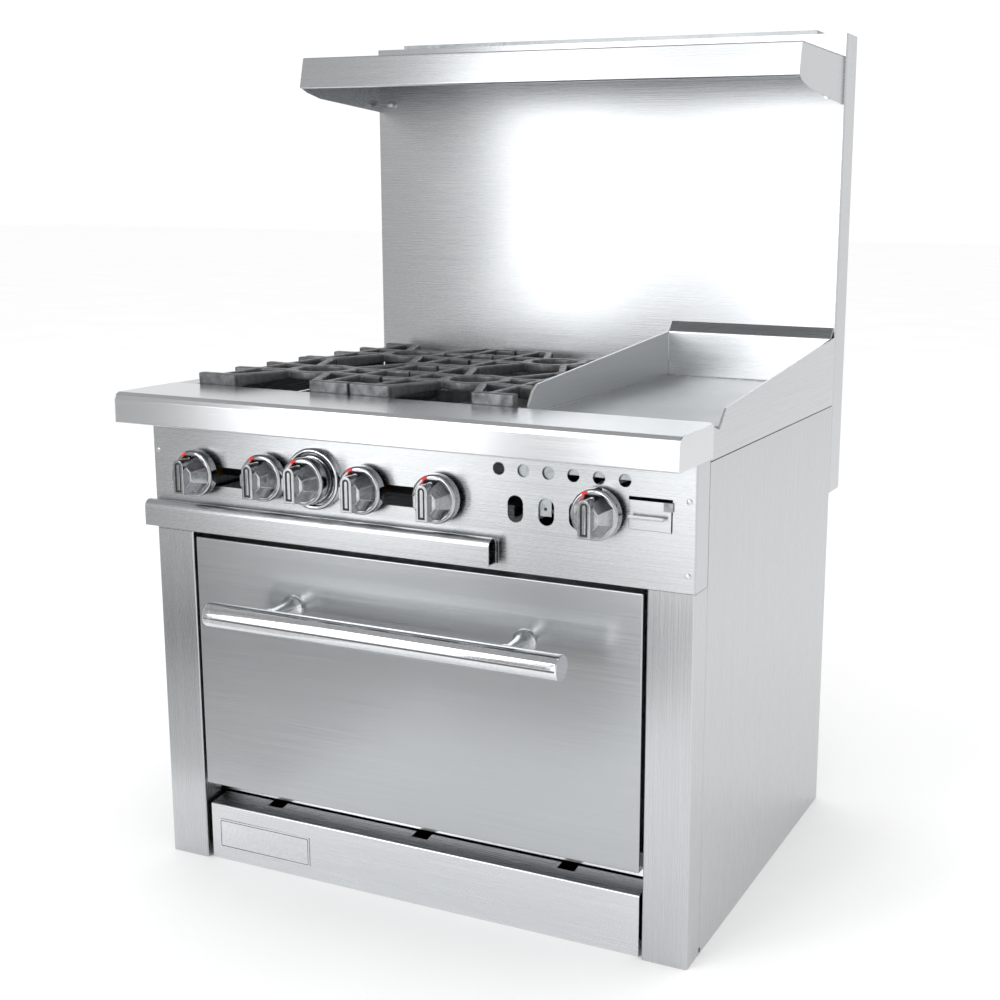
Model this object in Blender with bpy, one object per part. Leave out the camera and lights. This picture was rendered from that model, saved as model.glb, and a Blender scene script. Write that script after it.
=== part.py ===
"""A 36 inch commercial gas range: four open burners, a griddle, one oven, a backguard with a high shelf.

Metres, +Z up. Shapes are written in the cabinet's own axes: X to the right, Y back from the face of
the front posts, Z up from the floor. One empty, cabinet_axes, shifts them so that the world origin is
at the middle of the range's footprint.
"""

import math

import bmesh
import bpy
from mathutils import Matrix, Vector

# ---- driving dimensions -----------------------------------------------------------------------------
LEDGE_WIDTH = 0.9144            # the nominal 36 inches
BODY_WIDTH = 0.908
TOP_Z = 0.771                   # top of the front ledge and of the cooktop strips
BACKGUARD_LOW_Z = 0.566
BACKGUARD_TOP_Z = 1.336
FLUE_RISE = 0.007               # the flue outlet stands this far above the backguard
FLUE_HALF = 0.400
FLUE_MOUTH_Z = (0.600, 0.640)
OUTLET_HALF = 0.200             # half the width of the oven's outlet and of the flue's mouth
REAR_Y = 0.725                  # back of the backguard
HANDLE_AXIS = (-0.082, 0.447)   # y, z
HANDLE_RADIUS = 0.019
HANDLE_X = (-0.290, 0.297)      # ends of the tube
HANDLE_POST_X = 0.199

SHEET = 0.0015
GAP = 0.0003                    # clearance kept between pieces that touch
HALF = BODY_WIDTH / 2
LEDGE_HALF = LEDGE_WIDTH / 2
HANDLE_FRONT_Y = HANDLE_AXIS[0] - HANDLE_RADIUS
CABINET_SHIFT_Y = -(HANDLE_FRONT_Y + REAR_Y) / 2

SIDE_FRONT_Y = 0.0485           # where the side panels start, behind the corner posts
SIDE_REAR_Y = 0.660
SIDE_TOP_Z = 0.7195
POST_TOP_Z = 0.547
POST_FACE = 0.0695              # width of a corner post's front face
POST_DEPTH = 0.0475

PANEL_Z = (0.5476, 0.7235)      # control panel
LEDGE_FRONT_Y = -0.076
LEDGE_BOTTOM_Z = 0.725
LEDGE_REAR_Y = 0.064

DOOR_HALF = 0.379
DOOR_Z = (0.131, 0.540)
DOOR_DEPTH = 0.040
DOOR_PIVOT = (0.026, 0.145)     # y, z
LINER_HALF = 0.333
LINER_Z = (0.147, 0.508)
LINER_Y = (0.0520, 0.615)
RACK_Z = 0.330

# ---- burners, griddle and controls ------------------------------------------------------------------
GRATE_SIZE = (0.279, 0.277)
GRATE_X = (-0.2753, 0.0070)     # centres of the two columns
GRATE_Y = (0.2050, 0.4850)      # centres of the two rows
GRATE_Z = (0.7660, 0.7890)
REST_Z = 0.7655                 # what the grates stand on
DIVIDER_X = 0.1480
SPLASH_X = 0.1505               # outer face of the griddle's left splash
PLATE_Z = (0.738, 0.757)
TROUGH_Y = (0.0665, 0.1275)
SPLASH_THICK = 0.004
GRIDDLE_REAR_Y = 0.6452
CHUTE = ((0.366, 0.410), (0.080, 0.112))

MANIFOLD = (0.050, 0.645, 0.0133)       # y, z, radius
INLET = (-0.425, 0.500)                 # x, z of the gas pipe where it leaves the rear panel
KNOB_RADIUS = 0.036
SKIRT_Y = -0.008
STEM_RADIUS = 0.004
BURNER_KNOBS = ((-0.361, 0.645), (-0.2335, 0.649), (-0.060, 0.646), (0.065, 0.645))
GRIDDLE_KNOB = (0.3145, 0.647)
OVEN_KNOB = (-0.150, 0.653)
OVEN_SKIRT_Y = -0.020
VALVE_SLOTS = ((-0.378, -0.216), (-0.076, 0.080))
VALVE_SLOT_Z = (0.6245, 0.6547)
ROUND_HOLES = tuple(0.158 + 0.0384 * i for i in range(6))
ROUND_HOLE_Z, ROUND_HOLE_RADIUS = 0.694, 0.00925
OBROUND_HOLES = (0.184, 0.232, 0.279, 0.3145)
OBROUND_SIZE = (0.6388, 0.0245, 0.039)  # z, width, height
THERMOSTAT_HOLE_RADIUS = 0.030

TRAY_X = (-0.442, 0.144)
TRAY_Z = (0.5585, 0.5900)
TRAY_REAR_Y = 0.595
TRAY_MOUTH = ((-0.444, 0.146), (0.5565, 0.592))
TRAY_LIP = (-HALF, 0.155)       # x
TRAY_BEND = (-0.0145, 0.5855)   # y, z of the middle of its rolled front
DRAWER_X = (0.3580, 0.4175)
DRAWER_Z = (0.6300, 0.6715)
DRAWER_REAR_Y = 0.350
DRAWER_MOUTH = ((0.356, 0.4195), (0.628, 0.6737))

SHELF_HALF = 0.450
SHELF_TOP_Z = 1.300


# ---- scene and helpers ------------------------------------------------------------------------------
for old in list(bpy.data.objects):
    bpy.data.objects.remove(old)


def finish(name, color, roughness, metallic=1.0):
    material = bpy.data.materials.new(name)
    material.use_nodes = True
    shader = material.node_tree.nodes["Principled BSDF"]
    shader.inputs["Base Color"].default_value = (*color, 1)
    shader.inputs["Roughness"].default_value = roughness
    shader.inputs["Metallic"].default_value = metallic
    return material


STAINLESS = finish("stainless_sheet", (0.62, 0.62, 0.62), 0.32)
CHROME = finish("chrome_plate", (0.80, 0.80, 0.82), 0.08)
PLATE_STEEL = finish("griddle_steel", (0.45, 0.45, 0.45), 0.40)
CAST_IRON = finish("cast_iron", (0.03, 0.03, 0.03), 0.60, 0.4)
GALVANISED = finish("galvanised_sheet", (0.50, 0.51, 0.52), 0.45)
ENAMEL = finish("oven_enamel", (0.03, 0.03, 0.035), 0.25, 0.0)
BRASS = finish("valve_brass", (0.75, 0.58, 0.26), 0.35)
BLACK_PIPE = finish("black_pipe", (0.04, 0.04, 0.04), 0.55, 0.5)
WIRE = finish("rack_wire", (0.70, 0.70, 0.72), 0.20)
GASKET = finish("gasket_braid", (0.10, 0.10, 0.10), 0.90, 0.0)


def empty(name, at, parent=None):
    """An empty at a point given in cabinet axes; parents are never turned, so offsets simply add."""
    marker = bpy.data.objects.new(name, None)
    marker.empty_display_size = 0.05
    bpy.context.scene.collection.objects.link(marker)
    marker["at"] = at
    if parent is None:
        marker.location = (0, CABINET_SHIFT_Y, 0)
    else:
        marker.parent = parent
        marker.location = Vector(at) - Vector(parent["at"])
    return marker


CABINET = empty("cabinet_axes", (0.0, 0.0, 0.0))


def add(name, bm, material=None, parent=CABINET):
    """A mesh object drawn in cabinet axes, with its origin moved to its parent's."""
    bmesh.ops.recalc_face_normals(bm, faces=bm.faces)
    bm.transform(Matrix.Translation(-Vector(parent["at"])))
    mesh = bpy.data.meshes.new(name)
    bm.to_mesh(mesh)
    bm.free()
    if material:
        mesh.materials.append(material)
    obj = bpy.data.objects.new(name, mesh)
    bpy.context.scene.collection.objects.link(obj)
    obj.parent = parent
    return obj


def box(x, y, z):
    """A block between two x, two y and two z values."""
    bm = bmesh.new()
    bmesh.ops.create_cube(bm, size=1)
    low, high = Vector((x[0], y[0], z[0])), Vector((x[1], y[1], z[1]))
    bm.transform(Matrix.Translation((low + high) / 2) @ Matrix.Diagonal((*(high - low), 1)))
    return bm


def prism(outline, axis, start, end):
    """An outline extruded along an axis. Its two values are the other axes, in X, Y, Z order."""
    bm = bmesh.new()

    def place(point, along):
        values = list(point)
        values.insert("XYZ".index(axis), along)
        return values

    face = bm.faces.new([bm.verts.new(place(point, start)) for point in outline])
    moved = bmesh.ops.extrude_face_region(bm, geom=[face])["geom"]
    shift = Vector(place((0, 0), end - start))
    bmesh.ops.translate(bm, verts=[v for v in moved if isinstance(v, bmesh.types.BMVert)], vec=shift)
    return bm


def turned(profile, axis, at, sides=24, phase=0.0):
    """A solid of revolution: (along, radius) points from one end of the axis to the other."""
    bm = bmesh.new()
    rings = []
    for along, radius in profile:
        if radius == 0:
            rings.append([bm.verts.new((0, 0, along))])
            continue
        angles = [phase + math.tau * i / sides for i in range(sides)]
        rings.append([bm.verts.new((radius * math.cos(a), radius * math.sin(a), along)) for a in angles])
    for low, high in zip(rings, rings[1:]):
        for i in range(sides):
            j = i + 1
            corners = [low[i % len(low)], low[j % len(low)], high[j % len(high)], high[i % len(high)]]
            bm.faces.new(list(dict.fromkeys(corners)))
    for end in (rings[0], rings[-1]):
        if len(end) > 1:
            bm.faces.new(end)
    turn = {"X": Matrix.Rotation(math.pi / 2, 4, "Y"), "Y": Matrix.Rotation(-math.pi / 2, 4, "X"),
            "Z": Matrix.Identity(4)}[axis]
    bm.transform(Matrix.Translation(at) @ turn)
    return bm


def ring(inner, outer, axis, at, length, sides=32):
    """A flat-ended ring, as a closed loop of profile points turned about its axis."""
    bm = bmesh.new()
    loops = []
    for i in range(sides):
        angle = math.tau * i / sides
        way = Vector((math.cos(angle), math.sin(angle), 0))
        corners = ((inner, 0), (outer, 0), (outer, length), (inner, length))
        loops.append([bm.verts.new(way * radius + Vector((0, 0, along))) for radius, along in corners])
    for i in range(sides):
        this, following = loops[i], loops[(i + 1) % sides]
        for k in range(4):
            bm.faces.new((this[k], following[k], following[(k + 1) % 4], this[(k + 1) % 4]))
    turn = {"Y": Matrix.Rotation(-math.pi / 2, 4, "X"), "Z": Matrix.Identity(4)}[axis]
    bm.transform(Matrix.Translation(at) @ turn)
    return bm


def pipe(points, radius, sides=10):
    """A round pipe along straight runs, mitred where they meet."""
    bm = bmesh.new()
    points = [Vector(p) for p in points]
    ways = [(b - a).normalized() for a, b in zip(points, points[1:])]
    side = ways[0].orthogonal().normalized()
    across = ways[0].cross(side)
    angles = [math.tau * (i + 0.5) / sides for i in range(sides)]
    offsets = [radius * (math.cos(a) * side + math.sin(a) * across) for a in angles]
    rings = [[points[0] + offset for offset in offsets]]
    for i, way in enumerate(ways):
        following = ways[i + 1] if i + 1 < len(ways) else way
        normal = (way + following).normalized()
        reach = [(points[i + 1] - p).dot(normal) / way.dot(normal) for p in rings[-1]]
        rings.append([p + way * distance for p, distance in zip(rings[-1], reach)])
    drawn = [[bm.verts.new(p) for p in points_round] for points_round in rings]
    for low, high in zip(drawn, drawn[1:]):
        for i in range(sides):
            j = (i + 1) % sides
            bm.faces.new((low[i], low[j], high[j], high[i]))
    bm.faces.new(drawn[0])
    bm.faces.new(drawn[-1])
    return bm


def obround(x, z, width, height, steps=6):
    """An upright slot outline with round ends, in X and Z."""
    radius = width / 2
    lift = height / 2 - radius
    upper = [math.pi * i / steps for i in range(steps + 1)]
    top = [(x + radius * math.cos(a), z + lift + radius * math.sin(a)) for a in upper]
    return top + [(x - radius * math.cos(a), z - lift - radius * math.sin(a)) for a in upper]


def combine(obj, shapes, operation):
    """Joins shapes to an object, or cuts them from it, and keeps the result as its mesh."""
    cutters = bpy.data.collections.new("cutters")
    for i, shape in enumerate(shapes):
        helper = add(f"cutter_{i}", shape, parent=obj.parent)
        helper.hide_render = True
        helper.display_type = "WIRE"
        cutters.objects.link(helper)
    modifier = obj.modifiers.new("combine", "BOOLEAN")
    modifier.operand_type = "COLLECTION"
    modifier.collection = cutters
    modifier.operation = operation
    modifier.solver = "EXACT"
    bpy.context.view_layer.update()
    graph = bpy.context.evaluated_depsgraph_get()
    mesh = bpy.data.meshes.new_from_object(obj.evaluated_get(graph))
    obj.modifiers.clear()
    obj.data = mesh
    mesh.name = obj.name
    for helper in list(cutters.objects):
        bpy.data.objects.remove(helper)
    bpy.data.collections.remove(cutters)
    return obj


def join(obj, shapes):
    return combine(obj, shapes, "UNION")


def cut(obj, shapes):
    return combine(obj, shapes, "DIFFERENCE")


def copy(obj, name, parent):
    """Another object on the same mesh, at its own parent."""
    twin = bpy.data.objects.new(name, obj.data)
    bpy.context.scene.collection.objects.link(twin)
    twin.parent = parent
    return twin


def smooth(obj, angle=35):
    obj.data.shade_smooth()
    obj.data.set_sharp_from_angle(angle=math.radians(angle))
    return obj


def mirrored(outline):
    return [(-x, other) for x, other in reversed(outline)]


# ---- cabinet ----------------------------------------------------------------------------------------
def corner_posts():
    """Folded channels each side of the door: a front face and two flanges going back."""
    inner = HALF - POST_FACE
    outline = [(inner, 0), (HALF, 0), (HALF, POST_DEPTH), (HALF - SHEET, POST_DEPTH), (HALF - SHEET, SHEET),
               (inner + SHEET, SHEET), (inner + SHEET, DOOR_DEPTH), (inner, DOOR_DEPTH)]
    add("right_front_post", prism(outline, "Z", 0, POST_TOP_Z), STAINLESS)
    add("left_front_post", prism(mirrored(outline), "Z", 0, POST_TOP_Z), STAINLESS)


def side_panels():
    span_y, span_z = (SIDE_FRONT_Y, SIDE_REAR_Y), (0, SIDE_TOP_Z)
    add("right_side_panel", box((HALF - SHEET, HALF), span_y, span_z), STAINLESS)
    add("left_side_panel", box((-HALF, SHEET - HALF), span_y, span_z), STAINLESS)


def rear_and_base():
    inside = HALF - SHEET - GAP
    base = (-inside, inside), (SIDE_FRONT_Y, SIDE_REAR_Y - SHEET - GAP), (0, 0.002)
    add("base_pan", box(*base), GALVANISED)
    rear = add("rear_panel", box((-inside, inside), (SIDE_REAR_Y - SHEET, SIDE_REAR_Y), (0, SIDE_TOP_Z)),
               GALVANISED)
    gas_hole = turned(((-0.02, 0.019), (0.02, 0.019)), "Y", (INLET[0], SIDE_REAR_Y, INLET[1]), 16)
    flue_hole = box((-OUTLET_HALF, OUTLET_HALF), (SIDE_REAR_Y - 0.02, SIDE_REAR_Y + 0.02), FLUE_MOUTH_Z)
    cut(rear, [gas_hole, flue_hole])


def kick_panel():
    """The lower front panel, set back a little, with a top flange that has three air notches."""
    front, top, half, notch_half = 0.006, 0.094, 0.3775, 0.014
    flange_rear, flange_z = 0.046, 0.099
    outline = [(front, 0), (front, top), (flange_rear, flange_z), (flange_rear, flange_z - SHEET),
               (front + SHEET, top - SHEET), (front + SHEET, 0)]
    panel = add("kick_panel", prism(outline, "X", -half, half), STAINLESS)
    notches = [box((x - notch_half, x + notch_half), (0.030, 0.060), (0.080, 0.120))
               for x in (-0.270, 0.0, 0.250)]
    cut(panel, notches)
    plate_y = (front - GAP - 0.001, front - GAP)
    plate = add("name_plate", box((-0.362, -0.187), plate_y, (0.021, 0.070)), CHROME)
    edge = plate.modifiers.new("edge", "BEVEL")
    edge.width = 0.0003
    edge.segments = 1


def control_panel():
    """Front sheet with side returns, and the openings for valves, air, the tray and the drawer."""
    back = SIDE_FRONT_Y - 0.002
    outline = [(-HALF, 0), (HALF, 0), (HALF, back), (HALF - SHEET, back), (HALF - SHEET, SHEET),
               (SHEET - HALF, SHEET), (SHEET - HALF, back), (-HALF, back)]
    panel = add("control_panel", prism(outline, "Z", *PANEL_Z), STAINLESS)
    through = (-0.01, 0.01)

    def bored(x, z, radius, sides):
        return turned([(y, radius) for y in through], "Y", (x, 0, z), sides)

    cutters = [bored(x, ROUND_HOLE_Z, ROUND_HOLE_RADIUS, 16) for x in ROUND_HOLES]
    cutters += [prism(obround(x, *OBROUND_SIZE), "Y", *through) for x in OBROUND_HOLES]
    cutters += [box(span, through, VALVE_SLOT_Z) for span in VALVE_SLOTS]
    cutters.append(bored(*OVEN_KNOB, THERMOSTAT_HOLE_RADIUS, 24))
    cutters.append(box(DRAWER_MOUTH[0], through, DRAWER_MOUTH[1]))
    cutters.append(box(TRAY_MOUTH[0], through, TRAY_MOUTH[1]))
    cut(panel, cutters)


def front_ledge():
    """The bull-nose: a folded front with closed ends and a short lower return."""
    front, low = LEDGE_FRONT_Y, LEDGE_BOTTOM_Z
    shell = [(front, low), (front, TOP_Z - 0.010), (front + 0.003, TOP_Z - 0.003), (front + 0.010, TOP_Z),
             (LEDGE_REAR_Y, TOP_Z), (LEDGE_REAR_Y, low)]
    ledge = add("front_ledge", prism(shell, "X", -LEDGE_HALF, LEDGE_HALF), STAINLESS)
    inside = [(front + SHEET, low + SHEET), (front + SHEET, TOP_Z - 0.010), (front + 0.011, TOP_Z - SHEET),
              (LEDGE_REAR_Y + 0.01, TOP_Z - SHEET), (LEDGE_REAR_Y + 0.01, low - 0.01),
              (front + 0.030, low - 0.01), (front + 0.030, low + SHEET)]
    corner = box((HALF - 0.0045, LEDGE_HALF + 0.01), (SIDE_FRONT_Y - 0.001, 0.1), (0.7, 0.8))
    cut(ledge, [prism(inside, "X", SHEET - LEDGE_HALF, LEDGE_HALF - SHEET), corner])


def top_frame():
    """The frame that carries the grates: side and rear strips, three rests and the griddle wall."""
    start, end = LEDGE_REAR_Y + 0.0005, SIDE_REAR_Y
    left, strip = -HALF, -0.4175
    outline = [(left, SIDE_TOP_Z + 0.001), (left + SHEET, SIDE_TOP_Z + 0.001), (left + SHEET, TOP_Z - SHEET),
               (strip - SHEET, TOP_Z - SHEET), (strip - SHEET, REST_Z - SHEET), (-0.400, REST_Z - SHEET),
               (-0.400, REST_Z), (strip, REST_Z), (strip, TOP_Z), (left, TOP_Z)]
    frame = add("top_frame", prism(outline, "Y", start, end), STAINLESS)
    span = (strip - 0.001, DIVIDER_X + 0.001)
    rear_y = 0.6245
    pieces = [
        box(span, (start, start + SHEET), (0.735, REST_Z)),
        box(span, (start, 0.084), (REST_Z - SHEET, REST_Z)),
        box(span, (0.332, 0.358), (0.748, REST_Z)),
        box(span, (rear_y - 0.018, rear_y + SHEET), (REST_Z - SHEET, REST_Z)),
        box(span, (rear_y, rear_y + SHEET), (REST_Z - SHEET, TOP_Z)),
        box(span, (rear_y, end), (TOP_Z - SHEET, TOP_Z)),
        box((DIVIDER_X, DIVIDER_X + SHEET), (start, end - 0.003), (0.610, REST_Z)),
        box((DIVIDER_X - 0.016, DIVIDER_X + SHEET), (start, end), (REST_Z - SHEET, REST_Z)),
        box((DIVIDER_X, DIVIDER_X + SHEET), (rear_y, end), (0.740, TOP_Z)),
    ]
    join(frame, pieces)


# ---- griddle ----------------------------------------------------------------------------------------
def griddle():
    """The plate with the splashes that stand round it, and the trough that drains its front edge."""
    low, high = PLATE_Z
    inner_left, inner_right = SPLASH_X + SPLASH_THICK + GAP, HALF - SPLASH_THICK - GAP
    plate_span = (TROUGH_Y[1] + GAP, GRIDDLE_REAR_Y - GAP)
    add("griddle_plate", box((inner_left, inner_right), plate_span, (low, high)), PLATE_STEEL)
    left = [(0.0985, low), (0.0985, 0.767), (0.113, 0.789), (0.127, 0.798), (GRIDDLE_REAR_Y, 0.835),
            (GRIDDLE_REAR_Y, low)]
    add("griddle_left_splash", prism(left, "X", SPLASH_X, SPLASH_X + SPLASH_THICK), STAINLESS)
    right = [(SIDE_FRONT_Y, SIDE_TOP_Z + 0.001), (SIDE_FRONT_Y, 0.770), (0.081, 0.759), (0.108, 0.7855),
             (0.652, 0.837), (SIDE_REAR_Y + 0.0015, 0.837), (SIDE_REAR_Y + 0.0015, SIDE_TOP_Z + 0.001)]
    add("griddle_right_splash", prism(right, "X", HALF - SPLASH_THICK, HALF), STAINLESS)
    front, back = GRIDDLE_REAR_Y + GAP, SIDE_REAR_Y + 0.0015
    rear = [(front, low), (front, 0.835), (back - SHEET, 0.853), (back, 0.853), (back, 0.849),
            (front + SPLASH_THICK, 0.832), (front + SPLASH_THICK, low)]
    add("griddle_rear_splash", prism(rear, "X", inner_left, inner_right), STAINLESS)
    y0, y1 = TROUGH_Y
    channel = [(y0, 0.700), (y1, 0.700), (y1, 0.7555), (y1 - SHEET, 0.7555), (y1 - SHEET, 0.7015),
               (y0 + SHEET, 0.7015), (y0 + SHEET, 0.7555), (y0, 0.7555)]
    trough = add("grease_trough", prism(channel, "X", inner_left, inner_right), STAINLESS)
    (x0, x1), (c0, c1) = CHUTE
    ends = [box((x, x + SHEET), (y0, y1), (0.700, 0.7555)) for x in (inner_left, inner_right - SHEET)]
    join(trough, ends + [box((x0, x1), (c0, c1), (0.676, 0.7012))])
    inside = (x0 + SHEET, x1 - SHEET), (c0 + SHEET, c1 - SHEET)
    cut(trough, [box(*inside, (0.670, 0.710))])


def griddle_burner():
    """An H-shaped burner under the plate, fed from the griddle valve."""
    x, z, radius = GRIDDLE_KNOB[0], 0.690, 0.0135
    burner = add("griddle_burner", pipe(((x - 0.070, 0.145, z), (x - 0.070, 0.600, z)), radius), BLACK_PIPE)
    join(burner, [pipe(((x + 0.070, 0.145, z), (x + 0.070, 0.600, z)), radius)])
    join(burner, [pipe(((x - 0.070, 0.370, z), (x + 0.070, 0.370, z)), radius * 0.9, 8)])
    join(burner, [pipe(((x, 0.072, 0.655), (x, 0.140, 0.655), (x, 0.370, z)), radius * 0.8, 8)])


# ---- backguard, flue and shelf ----------------------------------------------------------------------
def backguard():
    """Front sheet with side flanges, a cover behind it, and the flue duct between them."""
    front, back = SIDE_REAR_Y + 0.002, REAR_Y
    lip = HALF - 0.014
    outline = [(-HALF, front), (HALF, front), (HALF, back), (lip, back), (lip, back - SHEET),
               (HALF - SHEET, back - SHEET), (HALF - SHEET, front + SHEET), (SHEET - HALF, front + SHEET),
               (SHEET - HALF, back - SHEET), (-lip, back - SHEET), (-lip, back), (-HALF, back)]
    add("backguard", prism(outline, "Z", BACKGUARD_LOW_Z, BACKGUARD_TOP_Z), STAINLESS)
    rear = back - SHEET - GAP
    top = BACKGUARD_TOP_Z - GAP
    folded = [(rear - SHEET, BACKGUARD_LOW_Z), (rear, BACKGUARD_LOW_Z), (rear, top), (front + 0.0025, top),
              (front + 0.0025, top - SHEET), (rear - SHEET, top - SHEET)]
    half = HALF - SHEET - GAP
    cover = add("backguard_cover", prism(folded, "X", -half, half), GALVANISED)
    duct_y = (front + 0.007, back - 0.008)
    room_x, room_y = FLUE_HALF + 0.0005, (duct_y[0] - 0.0005, duct_y[1] + 0.0005)
    cut(cover, [box((-room_x, room_x), room_y, (top - 0.02, top + 0.02))])
    flue = add("flue_duct", box((-FLUE_HALF, FLUE_HALF), duct_y, (0.590, BACKGUARD_TOP_Z + FLUE_RISE)),
               GALVANISED)
    inside = (SHEET - FLUE_HALF, FLUE_HALF - SHEET), (duct_y[0] + SHEET, duct_y[1] - SHEET)
    mouth = box((-OUTLET_HALF, OUTLET_HALF), (duct_y[0] - 0.01, duct_y[0] + 0.01), FLUE_MOUTH_Z)
    cut(flue, [box(*inside, (0.580, BACKGUARD_TOP_Z + 0.02)), mouth])


def high_shelf():
    """A folded shelf with a slanted front lip, welded to an end plate at each side."""
    back = SIDE_REAR_Y + 0.002 - GAP
    lip_top, lip_low, weld = (0.419, SHELF_TOP_Z), (0.406, 1.248), 0.0002
    outline = [lip_top, lip_low, (lip_low[0] + 0.012, lip_low[1]), (lip_low[0] + 0.012, lip_low[1] + SHEET),
               (lip_low[0] + SHEET, lip_low[1] + SHEET), (lip_top[0] + SHEET, SHELF_TOP_Z - SHEET),
               (back, SHELF_TOP_Z - SHEET), (back, SHELF_TOP_Z)]
    shelf = add("high_shelf", prism(outline, "X", -SHELF_HALF, SHELF_HALF), STAINLESS)
    end = [(0.4075, 1.248), (0.4195, SHELF_TOP_Z - 0.0005), (back, SHELF_TOP_Z - 0.0005), (back, 1.222),
           (0.465, 1.234), (0.425, 1.242)]
    join(shelf, [prism(end, "X", x, x + SHEET) for x in (weld - SHELF_HALF, SHELF_HALF - SHEET - weld)])


# ---- oven -------------------------------------------------------------------------------------------
def oven_shell():
    """The liner, open at its front and bottom, the loose floor in it and the frame round its mouth."""
    low, high = LINER_Z
    front, back = LINER_Y
    liner = add("oven_liner", box((-LINER_HALF, LINER_HALF), (front, back), (low, high)), ENAMEL)
    inner = LINER_HALF - SHEET
    hollow = box((-inner, inner), (front - 0.01, back - SHEET), (low - 0.01, high - SHEET))
    outlet = box((-OUTLET_HALF, OUTLET_HALF), (back - 0.01, back + 0.01), (0.470, 0.495))
    cut(liner, [hollow, outlet])
    floor = box((GAP - inner, inner - GAP), (front + 0.001, back - SHEET - GAP), (0.1505, 0.1530))
    add("oven_floor", floor, ENAMEL)
    half = HALF - SHEET - GAP
    frame = add("oven_front_frame", box((-half, half), (0.0500, 0.0515), (0.101, 0.545)), STAINLESS)
    mouth_half = LINER_HALF - 0.002
    cut(frame, [box((-mouth_half, mouth_half), (0.04, 0.06), (0.149, 0.506))])


def rack_guides():
    """A hanger plate on each oven side wall with three ledges for the rack."""
    wall = LINER_HALF - SHEET - GAP
    for side, name in ((-1, "rack_guide_left"), (1, "rack_guide_right")):
        def across(a, b):
            return tuple(sorted((side * a, side * b)))
        guide = add(name, box(across(wall, wall - 0.002), (0.085, 0.590), (0.180, 0.480)), WIRE)
        ledges = [box(across(wall - 0.001, wall - 0.018), (0.085, 0.590), (z - 0.003, z))
                  for z in (0.225, RACK_Z - GAP, 0.430)]
        windows = [box(across(wall + 0.01, wall - 0.01), (0.120, 0.555), (z, z + 0.060))
                   for z in (0.245, 0.350)]
        join(guide, ledges)
        cut(guide, windows)


def oven_rack(parent):
    """A wire rack: a rod rim with cross rods, raised at the back as a stop."""
    half, front, back, rod = 0.322, 0.070, 0.575, 0.0055
    low, high = RACK_Z, RACK_Z + rod
    rack = add("oven_rack", box((-half, half), (front, front + rod), (low, high)), WIRE, parent)
    join(rack, [box((-half, half), (back - rod, back), (low, high + 0.020))])
    inset = 0.0004
    for x in (-half + inset, half - rod - inset):
        join(rack, [box((x, x + rod), (front + inset, back - inset), (low + inset, high - inset))])
    brace_z = (low + 2 * inset, high - 2 * inset)
    join(rack, [box((-half + 0.002, half - 0.002), (0.320, 0.320 + rod), brace_z)])
    count = 13
    spots = [-half + 2 * half * (i + 1) / (count + 1) for i in range(count)]
    rods = [box((x - 0.0020, x + 0.0020), (front + 0.0015, back - 0.0015), (high - 0.0022, high + 0.0025))
            for x in spots]
    join(rack, rods)


def oven_burner():
    """A U-shaped tube burner under the oven floor."""
    z, radius = 0.085, 0.016
    run = ((-0.130, 0.080, z), (-0.130, 0.520, z), (0.130, 0.520, z), (0.130, 0.080, z))
    add("oven_burner", pipe(run, radius, 12), BLACK_PIPE)


# ---- gas train --------------------------------------------------------------------------------------
def manifold():
    """The pipe behind the control panel, with the inlet run to the back on the left."""
    y, z, radius = MANIFOLD
    x, low = INLET
    run = ((0.338, y, z), (x, y, z), (x, 0.630, z), (x, 0.630, low), (x, 0.700, low))
    smooth(add("gas_manifold", pipe(run, radius, 12), BLACK_PIPE))


def valve(name, x, z, skirt, body, metal=BRASS):
    """A valve in front of the manifold: its body, the collar round its stem and the stem."""
    back = MANIFOLD[0] - MANIFOLD[2] - GAP
    shape = add(name, box((x - body, x + body), (0.012, back), (z - body, z + body)), metal)
    stem = turned(((skirt - 0.018, STEM_RADIUS), (0.014, STEM_RADIUS)), "Y", (x, 0, z), 12)
    collar = turned(((0.004, 0.008), (0.014, 0.008)), "Y", (x, 0, z), 12)
    join(shape, [collar])
    join(shape, [stem])


def valves():
    for i, (x, z) in enumerate(BURNER_KNOBS):
        valve(f"burner_valve_{i + 1}", x, z, SKIRT_Y, 0.011)
    valve("griddle_valve", *GRIDDLE_KNOB, SKIRT_Y, 0.011)
    valve("oven_thermostat", *OVEN_KNOB, OVEN_SKIRT_Y, 0.026, GALVANISED)


def open_burners():
    """Cast heads in the middle of each grate, each on a mixing tube from its valve."""
    profile = ((0.700, 0.0), (0.700, 0.020), (0.712, 0.044), (0.736, 0.048), (0.742, 0.042), (0.748, 0.030),
               (0.750, 0.0))
    for i, (x, _) in enumerate(BURNER_KNOBS):
        centre_x, centre_y = GRATE_X[i // 2], GRATE_Y[1 - i % 2]
        head = add(f"open_burner_{i + 1}", turned(profile, "Z", (centre_x, centre_y, 0), 24), CAST_IRON)
        turn_y = centre_y - abs(centre_x - x)
        run = ((x, 0.078, 0.668), (x, turn_y, 0.690), (centre_x, centre_y, 0.704))
        join(head, [pipe(run, 0.011, 8)])
        smooth(head)


# ---- grates -----------------------------------------------------------------------------------------
def bar(start, end, width, z):
    """A straight bar between two points in plan."""
    a, b = Vector((*start, 0)), Vector((*end, 0))
    way = (b - a).normalized()
    side = Vector((-way.y, way.x, 0)) * width / 2
    return prism([p.to_2d() for p in (a - side, b - side, b + side, a + side)], "Z", *z)


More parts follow.
